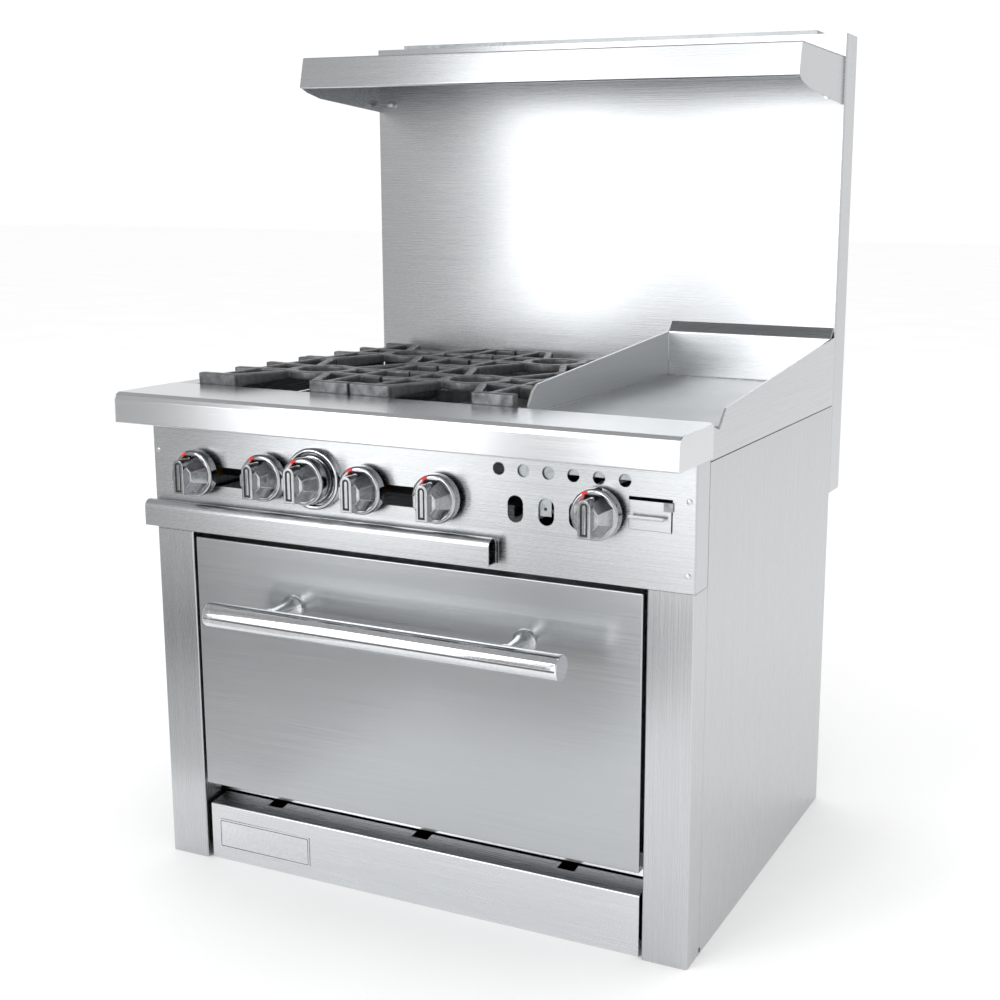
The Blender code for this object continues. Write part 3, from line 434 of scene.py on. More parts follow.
def fold(points, thick, radius, axis, start, end, turn_in=1):
    """Sheet metal bent along its outer line with a bend radius, extruded along an axis.
    turn_in is 1 when the thickness lies to the left of the line's direction, -1 to its right."""
    line = [Vector(p) for p in points]
    outer, inner = [], []

    def left(way):
        return Vector((-way.y, way.x)) * turn_in

    ways = [(b - a).normalized() for a, b in zip(line, line[1:])]
    outer.append(line[0])
    inner.append(line[0] + left(ways[0]) * thick)
    for i in range(1, len(line) - 1):
        before, after = ways[i - 1], ways[i]
        bend = math.atan2(before.x * after.y - before.y * after.x, before.dot(after))
        toward = 1 if bend * turn_in > 0 else -1
        given = radius if toward > 0 else radius - thick
        other = radius - thick if toward > 0 else radius
        reach = given * math.tan(abs(bend) / 2)
        centre = line[i] - before * reach + left(before) * toward * given
        steps = max(2, math.ceil(abs(bend) / math.radians(11)))
        for k in range(steps + 1):
            a = bend * k / steps
            arm = Matrix.Rotation(a, 2) @ (-left(before) * toward)
            outer.append(centre + arm * given)
            inner.append(centre + arm * other)
    outer.append(line[-1])
    inner.append(line[-1] + left(ways[-1]) * thick)
    bm = bmesh.new()

    def spot(point, along):
        values = list(point)
        values.insert("XYZ".index(axis), along)
        return bm.verts.new(values)

    rows = [[spot(p, along) for p in side_line] for side_line in (outer, inner) for along in (start, end)]
    o0, o1, i0, i1 = rows
    for k in range(len(outer) - 1):
        for a, b in ((o0, o1), (i0, i1), (o0, i0), (o1, i1)):
            bm.faces.new((a[k], a[k + 1], b[k + 1], b[k]))
    for k in (0, -1):
        bm.faces.new((o0[k], o1[k], i1[k], i0[k]))
    bmesh.ops.recalc_face_normals(bm, faces=bm.faces)
    return bm


BEND = 0.0028
upright_steel = brushed_stainless("brushed_upright_sheet", "Z")
for name, way in (("left_front_post", -1), ("right_front_post", 1)):
    low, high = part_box(name)
    outside, inside = (high.x, low.x) if way > 0 else (low.x, high.x)
    run = [(outside, high.y), (outside, low.y), (inside, low.y), (inside, low.y + 0.040)]
    piece(name.replace("front", "corner"), fold(run, SHEET, BEND, "Z", low.z, high.z, way * -1),
          upright_steel, "range_body", "stainless", name)


# ---- kick panel and name plate ------------------------------------------------------------------
# The lower front is one folded sheet with a sloping top flange; three notches in the flange let
# air in under the oven. A small chromed plate is riveted to its left end; it is left blank.

front_steel = brushed_stainless("brushed_front_sheet", "X")
# The kick sheet is given a lighter tone than the other brushed sheets: painted light, brightening a face that reflects
# the shaded floor in front of it.
kick_steel_painted_light = brushed_stainless("brushed_kick_sheet_painted_light", "X", "CED0D2", "D6D8DA")
low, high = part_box("kick_panel")
front, crest = low.y, 0.094
run = [(high.y, high.z), (front, crest), (front, low.z)]
kick = fold(run, SHEET, BEND, "X", low.x, high.x, 1)
notches = [block((x - 0.014, front + 0.024, 0.080), (x + 0.014, front + 0.060, 0.120)) for x in (-0.270, 0.0, 0.250)]
piece("kick_sheet", punched(kick, *notches), kick_steel_painted_light, "range_body", "stainless", "kick_panel")


def polished_chrome(name, dark="D2D4D6", light="E4E6E8", roughness=0.07):
    """Bright chrome plate over a buffed casting: mirror-like, with faint buffing swirls and dust."""
    material, tree, shader = surface(name)
    where = node(tree, "TexCoord").outputs["Object"]
    # Buffing marks about 1 mm apart.
    swirl = node(tree, "TexNoise", {"Scale": 1 / 0.0045, "Detail": 5.0, "Distortion": 1.2}, Vector=where)
    tree.links.new(two_tones(tree, swirl.outputs["Fac"], dark, light), shader.inputs["Base Color"])
    gloss = node(tree, "MapRange", {"To Min": roughness - 0.03, "To Max": roughness + 0.06},
                 Value=swirl.outputs["Fac"])
    tree.links.new(gloss.outputs["Result"], shader.inputs["Roughness"])
    shader.inputs["Metallic"].default_value = 1.0
    return material


chrome_plate = polished_chrome("chrome_plate")


def painted(name, dark, light, roughness, grain=0.0012, bump=0.10):
    """Paint or enamel: an even coat with a fine orange-peel surface."""
    material, tree, shader = surface(name)
    where = node(tree, "TexCoord").outputs["Object"]
    peel = node(tree, "TexNoise", {"Scale": 1 / grain, "Detail": 2.0}, Vector=where)
    tree.links.new(two_tones(tree, peel.outputs["Fac"], dark, light), shader.inputs["Base Color"])
    ripple = node(tree, "Bump", {"Strength": bump, "Distance": 0.0002}, Height=peel.outputs["Fac"])
    tree.links.new(ripple.outputs["Normal"], shader.inputs["Normal"])
    shader.inputs["Roughness"].default_value = roughness
    return material


black_paint = painted("black_fill_paint", "101011", "1A1A1C", 0.45)
low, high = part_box("name_plate")


def rounded_box(x0, z0, x1, z1, radius, steps=5):
    """A rectangle's outline with rounded corners."""
    points = []
    for cx, cz, start in ((x1 - radius, z1 - radius, 0), (x0 + radius, z1 - radius, 1),
                          (x0 + radius, z0 + radius, 2), (x1 - radius, z0 + radius, 3)):
        points += [(cx + radius * math.cos(a), cz + radius * math.sin(a))
                   for a in (math.pi / 2 * (start + k / steps) for k in range(steps + 1))]
    return points


BORDER = 0.0022
plate = punched(
    ease(prism(rounded_box(low.x, low.z, high.x, high.z, 0.002), "Y", low.y, high.y), 0.0002, 1, 50),
    prism(rounded_box(low.x + BORDER, low.z + BORDER, high.x - BORDER, high.z - BORDER, 0.0015), "Y",
          low.y - 0.01, low.y + 0.0004),
)
field = ease(prism(rounded_box(low.x + BORDER + 0.0011, low.z + BORDER + 0.0011, high.x - BORDER - 0.0011,
                               high.z - BORDER - 0.0011, 0.0012), "Y", low.y + 0.0001, low.y + 0.0008), 0.0001, 1, 50)
rivets = [turned(((low.y + 0.0006, 0.0022), (low.y + 0.0002, 0.0020), (low.y + 0.00002, 0.0010),
                  (low.y, 0.0)), "Y", (x, 0, (low.z + high.z) / 2), 20)
          for x in (low.x + 0.008, high.x - 0.008)]
piece("blank_name_plate", together(plate, field, *rivets), chrome_plate, "range_body", "chrome", "name_plate")
groove = prism(rounded_box(low.x + BORDER + 0.0001, low.z + BORDER + 0.0001, high.x - BORDER - 0.0001,
                           high.z - BORDER - 0.0001, 0.0014), "Y", low.y + 0.00035, low.y + 0.0007)
piece("name_plate_line", groove, black_paint, "range_body", "chrome")


# ---- oven cavity --------------------------------------------------------------------------------
# The oven box is porcelain-enamelled steel with a loose floor plate. Chromed hangers on its side
# walls hold a wire rack, and a stainless frame closes the cabinet round its mouth.

porcelain_enamel = painted("porcelain_enamel", "17181A", "26282B", 0.22, 0.0030, 0.05)
for name in ("oven_liner", "oven_floor"):
    dressed(name, porcelain_enamel, 0.0005)
dressed("oven_front_frame", front_steel)
rack_plating = polished_chrome("nickel_plated_wire", "B9BABC", "CFD0D2", 0.18)
for name in ("rack_guide_left", "rack_guide_right"):
    dressed(name, rack_plating)


def rod(points, radius, sides=12, corner=0.0, steps=6, closed=False):
    """A round bar along a line, its corners bent to a radius."""
    line = [Vector(p) for p in points]
    path = []
    count = len(line)
    for i, p in enumerate(line):
        if corner == 0.0 or (not closed and i in (0, count - 1)):
            path.append(p)
            continue
        back, on = (line[i - 1] - p).normalized(), (line[(i + 1) % count] - p).normalized()
        a, b = p + back * corner, p + on * corner
        for k in range(steps + 1):
            t = k / steps
            path.append(a * (1 - t) ** 2 + p * 2 * t * (1 - t) + b * t ** 2)
    curve = bpy.data.curves.new("rod", "CURVE")
    curve.dimensions = "3D"
    spline = curve.splines.new("POLY")
    spline.points.add(len(path) - 1)
    for point, at in zip(spline.points, path):
        point.co = (*at, 1)
    spline.use_cyclic_u = closed
    curve.bevel_depth = radius
    curve.bevel_resolution = max(1, sides // 4 - 1)
    curve.use_fill_caps = not closed
    bm = worked(placed("rod", curve))
    bmesh.ops.remove_doubles(bm, verts=bm.verts, dist=0.00001)
    return bm


low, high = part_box("oven_rack")
RIM, CROSS = 0.00275, 0.0020
z = low.z + RIM
rim = rod([(low.x + RIM, low.y + RIM, z), (high.x - RIM, low.y + RIM, z), (high.x - RIM, high.y - RIM, z),
           (low.x + RIM, high.y - RIM, z)], RIM, 12, 0.016, closed=True)
stop = rod([(low.x + 0.03, high.y - RIM - 0.0005, z), (low.x + 0.03, high.y - RIM, high.z - RIM),
            (high.x - 0.03, high.y - RIM, high.z - RIM), (high.x - 0.03, high.y - RIM - 0.0005, z)], RIM, 12, 0.009)
brace = rod([(low.x + RIM, (low.y + high.y) / 2, z), (high.x - RIM, (low.y + high.y) / 2, z)], RIM)
wires = []
COUNT = 19
for i in range(COUNT):
    x = low.x + (high.x - low.x) * (i + 1) / (COUNT + 1)
    wires.append(rod([(x, low.y + 0.001, z + 0.004), (x, high.y - 0.002, z + 0.004)], CROSS, 8))
piece("oven_wire_rack", together(rim, stop, brace, *wires), rack_plating, "oven_rack_body", "rack_wire", "oven_rack")


# ---- gas train ----------------------------------------------------------------------------------
# Black iron pipe feeds brass valves and a die-cast thermostat behind the control panel. The oven
# burner is a bent tube under the floor plate, and the griddle's is an H-shaped tube.

def rough_metal(name, dark, light, roughness, grain, metallic=1.0, bump=0.3):
    """Cast or scaled metal: a grainy skin with darker hollows."""
    material, tree, shader = surface(name)
    where = node(tree, "TexCoord").outputs["Object"]
    sand = node(tree, "TexNoise", {"Scale": 1 / grain, "Detail": 4.0, "Roughness": 0.6}, Vector=where)
    patch = node(tree, "TexNoise", {"Scale": 0.12 / grain, "Detail": 2.0}, Vector=where)
    blend = node(tree, "Mix", {"data_type": "FLOAT", 0: 0.5}, i2=sand.outputs["Fac"], i3=patch.outputs["Fac"])
    tree.links.new(two_tones(tree, blend.outputs[0], dark, light, 0.35, 0.65), shader.inputs["Base Color"])
    gloss = node(tree, "MapRange", {"From Min": 0.3, "From Max": 0.7, "To Min": roughness + 0.12,
                                    "To Max": roughness - 0.08}, Value=patch.outputs["Fac"])
    tree.links.new(gloss.outputs["Result"], shader.inputs["Roughness"])
    skin = node(tree, "Bump", {"Strength": bump, "Distance": grain * 0.4}, Height=sand.outputs["Fac"])
    tree.links.new(skin.outputs["Normal"], shader.inputs["Normal"])
    shader.inputs["Metallic"].default_value = metallic
    return material


black_iron_pipe = rough_metal("black_iron_pipe", "1B1B1C", "2E2E30", 0.50, 0.0010, 0.6)
forged_brass = rough_metal("forged_brass", "A8843A", "C9A552", 0.32, 0.0012, 1.0, 0.12)
for name in ("gas_manifold", "oven_burner", "griddle_burner"):
    dressed(name, black_iron_pipe, 0.0003)
for name in [f"burner_valve_{i}" for i in (1, 2, 3, 4)] + ["griddle_valve"]:
    dressed(name, forged_brass, 0.0006)
die_cast_zinc = rough_metal("die_cast_zinc_body", "85888A", "A3A6A8", 0.42, 0.0012, 1.0, 0.12)
dressed("oven_thermostat", die_cast_zinc, 0.0006)


# ---- open burners -------------------------------------------------------------------------------
# Four cast-iron lift-off heads, one under the middle of each grate: a bowl, a ring of raised
# flame ports and a domed cap, each on a cast mixing tube that runs back from its valve.

cast_iron = rough_metal("cast_iron", "58595A", "7C7E80", 0.42, 0.0014, 0.75, 0.30)
GRATE_OF = {1: "rear_left_grate", 2: "front_left_grate", 3: "rear_right_grate", 4: "front_right_grate"}
PORTS = 30
for i, grate in GRATE_OF.items():
    low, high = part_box(f"open_burner_{i}")
    grate_low, grate_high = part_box(grate)
    x, y = (grate_low.x + grate_high.x) / 2, (grate_low.y + grate_high.y) / 2
    top = high.z
    bowl = ((top - 0.050, 0.0), (top - 0.050, 0.017), (top - 0.047, 0.022), (top - 0.039, 0.043),
            (top - 0.034, 0.0475), (top - 0.0165, 0.0480), (top - 0.0150, 0.0470), (top - 0.0140, 0.0440),
            (top - 0.0080, 0.0420))
    cap = ((top - 0.0075, 0.0400), (top - 0.0065, 0.0425), (top - 0.0048, 0.0425), (top - 0.0035, 0.0400),
           (top - 0.0016, 0.0300), (top - 0.0004, 0.0150), (top, 0.0))
    head = turned(bowl + cap, "Z", (x, y, 0), PORTS * 4)
    # Every other pair of points round the port band is drawn in, which leaves the ports between teeth.
    for v in head.verts:
        if top - 0.0155 < v.co.z < top - 0.0060 and (v.co.xy - Vector((x, y))).length > 0.0415:
            angle = math.atan2(v.co.y - y, v.co.x - x) % math.tau
            if round(angle / math.tau * PORTS * 4) % 4 in (0, 1):
                v.co.xy = Vector((x, y)) + (v.co.xy - Vector((x, y))) * 0.92
    valve_low, valve_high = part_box(f"burner_valve_{i}")
    vx = (valve_low.x + valve_high.x) / 2
    start_y = valve_high.y + 0.0335
    run = [(vx, start_y, 0.668), (vx, y - abs(x - vx), 0.690), (x, y, top - 0.045)]
    tube = rod(run, 0.0108, 16, 0.030)
    mouth = turned(((start_y - 0.0005, 0.0095), (start_y - 0.0005, 0.0125), (start_y + 0.010, 0.0128),
                    (start_y + 0.016, 0.0105)), "Y", (vx, 0, 0.668), 24)
    piece(f"burner_casting_{i}", together(head, tube, mouth), cast_iron, "range_body", "cast_iron",
          f"open_burner_{i}", angle=40)


# ---- control panel ------------------------------------------------------------------------------
# One brushed sheet with its ends folded back: two slots for the burner valves, a round hole for
# the thermostat, six air holes over four upright slots, and mouths for the tray and the drawer.

def upright_slot(x, z, width, height, steps=10):
    """A slot outline with round ends, in X and Z."""
    radius = width / 2
    lift = height / 2 - radius
    arc = [math.pi * k / steps for k in range(steps + 1)]
    return ([(x + radius * math.cos(a), z + lift + radius * math.sin(a)) for a in arc]
            + [(x - radius * math.cos(a), z - lift - radius * math.sin(a)) for a in arc])


low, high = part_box("control_panel")
face = low.y
run = [(low.x, high.y), (low.x, face), (high.x, face), (high.x, high.y)]
panel = fold(run, SHEET, BEND, "Z", low.z, high.z, 1)
oven_low, oven_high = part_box("oven_thermostat")
oven_x, oven_z = (oven_low.x + oven_high.x) / 2, (oven_low.z + oven_high.z) / 2
tray_low, tray_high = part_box("crumb_tray")
drawer_low, drawer_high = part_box("grease_drawer")
AIR_HOLE, AIR_ROW_Z, AIR_PITCH, AIR_START = 0.00925, 0.694, 0.0384, 0.158
holes = [disc(AIR_START + AIR_PITCH * i, AIR_ROW_Z, AIR_HOLE) for i in range(6)]
holes += [upright_slot(x, 0.6388, 0.0245, 0.039) for x in (0.184, 0.232, 0.279, 0.3145)]
holes += [rounded_box(x0, 0.6245, x1, 0.6547, 0.0015) for x0, x1 in ((-0.378, -0.216), (-0.076, 0.080))]
holes.append(disc(oven_x, oven_z, 0.030, 48))
holes.append(rounded_box(drawer_low.x - 0.002, 0.628, drawer_high.x + 0.002, 0.6737, 0.0008))
holes.append(rounded_box(tray_low.x + 0.010, 0.5565, tray_high.x - 0.009, 0.592, 0.002))
tools = [prism(outline, "Y", face - 0.01, face + 0.01) for outline in holes]
piece("control_sheet", punched(panel, *tools), front_steel, "range_body", "stainless", "control_panel")
screws("panel_screws", [(x, face, z) for x, z in ((-0.443, 0.673), (0.443, 0.673), (0.443, 0.5715), (-0.443, 0.5715))],
       (0, -1, 0), bright_zinc, "range_body", "stainless")

# Close behind the air holes a plate carries the griddle's pilot; its edges show through them.
PLATE_BACK = face + 0.0035
plate_line = [(0.172, 0.709), (0.172, 0.6835), (0.2120, 0.6835), (0.2120, 0.6320), (0.2385, 0.6320), (0.2385, 0.6860),
              (0.2450, 0.6940), (0.368, 0.6940), (0.368, 0.709)]
bracket = punched(prism(plate_line, "Y", PLATE_BACK, PLATE_BACK + SHEET),
                  block((0.2275, face, 0.6400), (0.2315, face + 0.01, 0.6440)))
pilot_tube = rod([(0.222, face + 0.020, AIR_ROW_Z), (0.222, face + 0.020, 0.640), (0.222, face + 0.0345, 0.640)],
                 0.0032, 12, 0.006)
piece("pilot_bracket", together(bracket, pilot_tube), galvanised_sheet, "range_body", "galvanised")


# ---- thermostat bezel and knobs -----------------------------------------------------------------
# The knobs are chromed zinc castings on the valve stems: a round skirt, an eight-sided taper and
# an upright grip with an arched groove, with a red mark cast into the skirt at the off position.

low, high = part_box("thermostat_bezel")
outer, inner = (high.x - low.x) / 2, 0.0315
section = [(high.y, outer), (low.y + 0.0035, outer), (low.y + 0.0010, outer - 0.0010), (low.y, outer - 0.0032),
           (low.y + 0.0004, outer - 0.0060), (low.y + 0.0030, outer - 0.0085), (low.y + 0.0042, outer - 0.0115),
           (low.y + 0.0030, inner + 0.0008), (low.y + 0.0042, inner), (high.y, inner)]
bezel = bmesh.new()
SIDES = 72
loops = []
for k in range(SIDES):
    a = math.tau * k / SIDES
    loops.append([bezel.verts.new((oven_x + r * math.cos(a), y, oven_z + r * math.sin(a))) for y, r in section])
for k in range(SIDES):
    this, following = loops[k], loops[(k + 1) % SIDES]
    for m in range(len(section)):
        n = (m + 1) % len(section)
        bezel.faces.new((this[m], following[m], following[n], this[n]))
piece("bezel_ring", bezel, chrome_plate, "range_body", "chrome", "thermostat_bezel", angle=50)

red_enamel = painted("red_indicator_enamel", "D80A10", "EC1A1C", 0.30, 0.0008, 0.05)
# The knob chrome is given a darker tone than the chrome plate elsewhere: painted shade, standing in for the darker room
# it reflects.
knob_chrome_painted_shade = polished_chrome("chromed_die_casting_painted_shade", "A0A2A4", "BCBEC0", 0.11)
low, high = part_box("burner_knob_1")
RADIUS = (high.x - low.x) / 2
FRONT = low.y - high.y          # measured forwards from the skirt's back face
skirt = turned(((0.0, RADIUS - 0.0012), (-0.0012, RADIUS), (-0.0120, RADIUS), (-0.0138, RADIUS - 0.0006),
                (-0.0152, RADIUS - 0.0022), (-0.0160, RADIUS - 0.0045)), "Y", (0, 0, 0), 72)
EIGHTH = math.pi / 8
taper = turned(((-0.0120, 0.0335), (-0.0400, 0.0192)), "Y", (0, 0, 0), 8, EIGHTH)
taper = ease(taper, 0.0010, 3, 20)
HALF_GRIP, TOP, FOOT = 0.0095, 0.0265, -0.0265


def arch(half_width, top, foot, steps=14):
    """An upright bar's outline with a round top."""
    arc = [math.pi * k / steps for k in range(steps + 1)]
    points = [(half_width * math.cos(a), top - half_width + half_width * math.sin(a)) for a in arc]
    return points + [(-half_width, foot), (half_width, foot)]


grip = prism(arch(HALF_GRIP, TOP, FOOT), "Y", FRONT, -0.010)
grip = ease(grip, 0.0011, 3, 45)
groove = prism(arch(0.0055, TOP - 0.0040, FOOT + 0.0035), "Y", FRONT - 0.01, FRONT + 0.0016)
grip = punched(grip, groove)
rib = ease(prism(arch(0.0026, TOP - 0.0070, FOOT + 0.0065), "Y", FRONT + 0.0004, FRONT + 0.003), 0.0005, 2, 45)
knob_shape = together(skirt, taper, grip, rib)
knob_mesh = as_mesh(knob_shape, "knob_casting")
knob_mesh.materials.append(knob_chrome_painted_shade)
knob_mesh.shade_smooth()
knob_mesh.set_sharp_from_angle(angle=math.radians(28))

# The red mark is enamel filled into the taper's upper left face, close to the skirt.
LEAN = math.atan2(0.0335 * math.cos(EIGHTH) - 0.0192 * math.cos(EIGHTH), 0.028)
mark = ease(block((-0.0005, -0.0105, -0.0005), (0.0100, 0.0005, 0.0004)), 0.0002, 1)
mark.transform(Matrix.Rotation(-math.pi / 4, 4, "Y") @ Matrix.Translation((0, -0.0120, 0.0335 * math.cos(EIGHTH)))
               @ Matrix.Rotation(LEAN, 4, "X"))
tail = ease(block((-0.0045, -0.0163, 0.0290), (0.0045, -0.0148, 0.0338)), 0.0002, 1)
tail.transform(Matrix.Rotation(math.radians(-24), 4, "Y"))
mark = together(mark, tail)
mark_mesh = as_mesh(mark, "red_mark")
mark_mesh.materials.append(red_enamel)
# The groove round the grip's rib is filled with black paint.
fill = prism(arch(0.0054, TOP - 0.0041, FOOT + 0.0036), "Y", FRONT + 0.0009, FRONT + 0.0018)
fill_mesh = as_mesh(fill, "groove_fill")
fill_mesh.materials.append(black_paint)
for name in [f"burner_knob_{i}" for i in (1, 2, 3, 4)] + ["griddle_knob", "oven_knob"]:
    low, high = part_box(name)
    stem = ((low.x + high.x) / 2, high.y, (low.z + high.z) / 2)
    for part_name, mesh, finish in ((name + "_casting", knob_mesh, "chrome"), (name + "_mark", mark_mesh, "enamel"),
                                    (name + "_groove", fill_mesh, "enamel")):
        made = placed(part_name, mesh)
        made.location = stem
        even = made.modifiers.new("even_normals", "WEIGHTED_NORMAL")
        even.keep_sharp = True
        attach(made, name + "_body")
        if mesh is knob_mesh:
            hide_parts(name)


# ---- front ledge --------------------------------------------------------------------------------
# The bull-nose across the front: one brushed sheet folded down at the front over a small chamfer
# and in again at the bottom, closed by a welded and ground plate at each end.

low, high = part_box("front_ledge")
NOSE = 0.0105
run = [(high.y, high.z), (low.y + NOSE, high.z), (low.y + 0.0030, high.z - 0.0036), (low.y, high.z - NOSE),
       (low.y, low.z), (low.y + 0.030, low.z)]
skin = fold(run, SHEET, 0.0022, "X", low.x + SHEET, high.x - SHEET, 1)
cap = [(high.y, low.z), (high.y, high.z), (low.y + NOSE, high.z), (low.y + 0.0030, high.z - 0.0036),
       (low.y, high.z - NOSE), (low.y, low.z)]
ends = [ease(prism(cap, "X", x, x + SHEET), 0.0005) for x in (low.x, high.x - SHEET)]
splash_low, splash_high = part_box("griddle_right_splash")
corner = (splash_low.x - 0.0005, splash_low.y - 0.001, 0.70), (high.x + 0.01, high.y + 0.01, 0.80)
parts = [punched(skin, block(*corner)), ends[0], punched(ends[1], block(*corner))]
# The ledge sheet is given a lighter tone than the side sheets: painted light, matching how brightly it catches the
# lamps.
ledge_steel_painted_light = brushed_stainless("brushed_ledge_sheet_painted_light", "X", "CED0D2", "D8DADC", 0.23)
piece("ledge_sheet", together(*parts), ledge_steel_painted_light, "range_body", "stainless", "front_ledge")


# ---- top frame ----------------------------------------------------------------------------------
# Folded strips at the side and back of the burners, with three rests for the grates and the wall
# that parts the burners from the griddle; all spot-welded from the same stainless sheet.

dressed("top_frame", brushed_stainless("brushed_top_sheet", "Y"))


# ---- griddle ------------------------------------------------------------------------------------
# A 19 mm steel plate, ground on top, with 4 mm splashes welded to its sides and back and a folded
# trough across its front that drains to the drawer. The welds are left as laid, brushed bright.

griddle_steel, tree, shader = surface("ground_griddle_steel")
where = node(tree, "TexCoord").outputs["Object"]
# Blanchard grinding leaves crossing arcs about 2 mm apart; heat has tinted the plate in soft patches.
arcs = node(tree, "Mapping", {"Location": (-0.30, 0.45, 0.0)}, Vector=where)
ground = node(tree, "TexWave", {"wave_type": "RINGS", "rings_direction": "Z", "Scale": 78.0, "Distortion": 1.2,
                                "Detail": 2.0}, Vector=arcs.outputs[0])
patches = node(tree, "TexNoise", {"Scale": 7.0, "Detail": 3.0}, Vector=where)
blend = node(tree, "Mix", {"data_type": "FLOAT", 0: 0.72}, i2=ground.outputs["Fac"], i3=patches.outputs["Fac"])
tree.links.new(two_tones(tree, blend.outputs[0], "A2A4A6", "C4C6C8"), shader.inputs["Base Color"])
gloss = node(tree, "MapRange", {"To Min": 0.30, "To Max": 0.46}, Value=blend.outputs[0])
tree.links.new(gloss.outputs["Result"], shader.inputs["Roughness"])
cut_marks = node(tree, "Bump", {"Strength": 0.06, "Distance": 0.0002}, Height=ground.outputs["Fac"])
tree.links.new(cut_marks.outputs["Normal"], shader.inputs["Normal"])
shader.inputs["Metallic"].default_value = 1.0

low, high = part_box("griddle_plate")
plate_low, plate_high = low, high
piece("griddle_slab", block(low, high, 0.0012), griddle_steel, "range_body", "griddle_steel", "griddle_plate")

# The splash and trough sheet is given a lighter tone than the side sheets: painted light.
splash_steel_painted_light = brushed_stainless("brushed_splash_plate_painted_light", "Y", "CED0D2", "D6D8DA", 0.30)
low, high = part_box("griddle_left_splash")
left_outline = [(low.y, low.z), (low.y, 0.767), (low.y + 0.0145, 0.789), (low.y + 0.0285, 0.798),
                (high.y, high.z), (high.y, low.z)]
piece("left_splash_plate", ease(prism(left_outline, "X", low.x, high.x), 0.0008, 2, 20), splash_steel_painted_light,
      "range_body", "stainless", "griddle_left_splash")
low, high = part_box("griddle_right_splash")
right_outline = [(low.y, low.z), (low.y, 0.770), (low.y + 0.0325, 0.759), (low.y + 0.0595, 0.7855),
                 (high.y - 0.0095, high.z), (high.y, high.z), (high.y, low.z)]
piece("right_splash_plate", ease(prism(right_outline, "X", low.x, high.x), 0.0008, 2, 10),
      brushed_stainless("brushed_outer_splash", "Y", "BDBFC1", "C5C7C9", 0.28), "range_body", "stainless",
      "griddle_right_splash")
low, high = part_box("griddle_rear_splash")
run = [(low.y, low.z), (low.y, 0.835), (high.y - 0.0012, high.z)]
# The rear splash is given a lighter tone than the side sheets: painted light.
piece("rear_splash_plate", fold(run, 0.004, 0.0062, "X", low.x, high.x, -1),
      brushed_stainless("brushed_rear_splash_painted_light", "X", "D2D4D6", "DADCDD", 0.28), "range_body", "stainless",
      "griddle_rear_splash")
dressed("grease_trough", splash_steel_painted_light)

bright_weld = rough_metal("brushed_weld", "A3A5A7", "CACCCD", 0.30, 0.0016, 1.0, 0.2)


def weld_bead(name, start, end, size, way):
    """A laid weld: overlapping ripples along a line, leaning out of the corner in one direction."""
    a, b, out = Vector(start), Vector(end), Vector(way).normalized()
    run_length = (b - a).length
    along = (b - a) / run_length
    across = along.cross(out)
    RIPPLE = 0.0032
    steps = int(run_length / RIPPLE * 4)
    bm = bmesh.new()
    rows = []
    for k in range(steps + 1):
        lift = size * (0.82 + 0.18 * abs(math.sin(math.pi * k / 4)))
        middle = a + along * run_length * k / steps
        rows.append([bm.verts.new(middle + out * lift * math.cos(t) + across * lift * math.sin(t))
                     for t in (-1.5, -0.75, 0.0, 0.75, 1.5, math.pi)])
    for p, q in zip(rows, rows[1:]):
        for m in range(6):
            n = (m + 1) % 6
            bm.faces.new((p[m], p[n], q[n], q[m]))
    bm.faces.new(rows[0])
    bm.faces.new(rows[-1])
    return piece(name, bm, bright_weld, "range_body", "griddle_steel", angle=60)


BEAD = 0.0022
for name, x, way in (("left_weld", plate_low.x, 1), ("right_weld", plate_high.x, -1)):
    weld_bead(name, (x, plate_low.y + 0.002, plate_high.z), (x, plate_high.y - 0.002, plate_high.z), BEAD,
              (way, 0, 1))
weld_bead("rear_weld", (plate_low.x + 0.003, plate_high.y, plate_high.z),
          (plate_high.x - 0.003, plate_high.y, plate_high.z), BEAD, (0, -1, 1))


# ---- grates -------------------------------------------------------------------------------------
# Four loose grey-iron castings: a rim on four corner feet, fingers and arms that taper in to a ring
# over the burner. Sand casting leaves every edge round and the skin slightly pebbled.

def bar(start, end, width, z_start, z_end):
    """A cast bar between two points in plan; its top and bottom heights may differ at each end."""
    a, b = Vector(start), Vector(end)
    way = (b - a).normalized()
    side = Vector((-way.y, way.x)) * width / 2
    bm = bmesh.new()
    rings = []
    for at, (low_z, high_z) in ((a, z_start), (b, z_end)):
        rings.append([bm.verts.new((*(at + side * s * taper), z)) for s, z, taper in
                      ((-1, low_z, 0.86), (1, low_z, 0.86), (1, high_z, 1.0), (-1, high_z, 1.0))])
    bm.faces.new(rings[0])
    bm.faces.new(rings[1])
    for m in range(4):
        n = (m + 1) % 4
        bm.faces.new((rings[0][m], rings[0][n], rings[1][n], rings[1][m]))
    bmesh.ops.recalc_face_normals(bm, faces=bm.faces)
    return bm


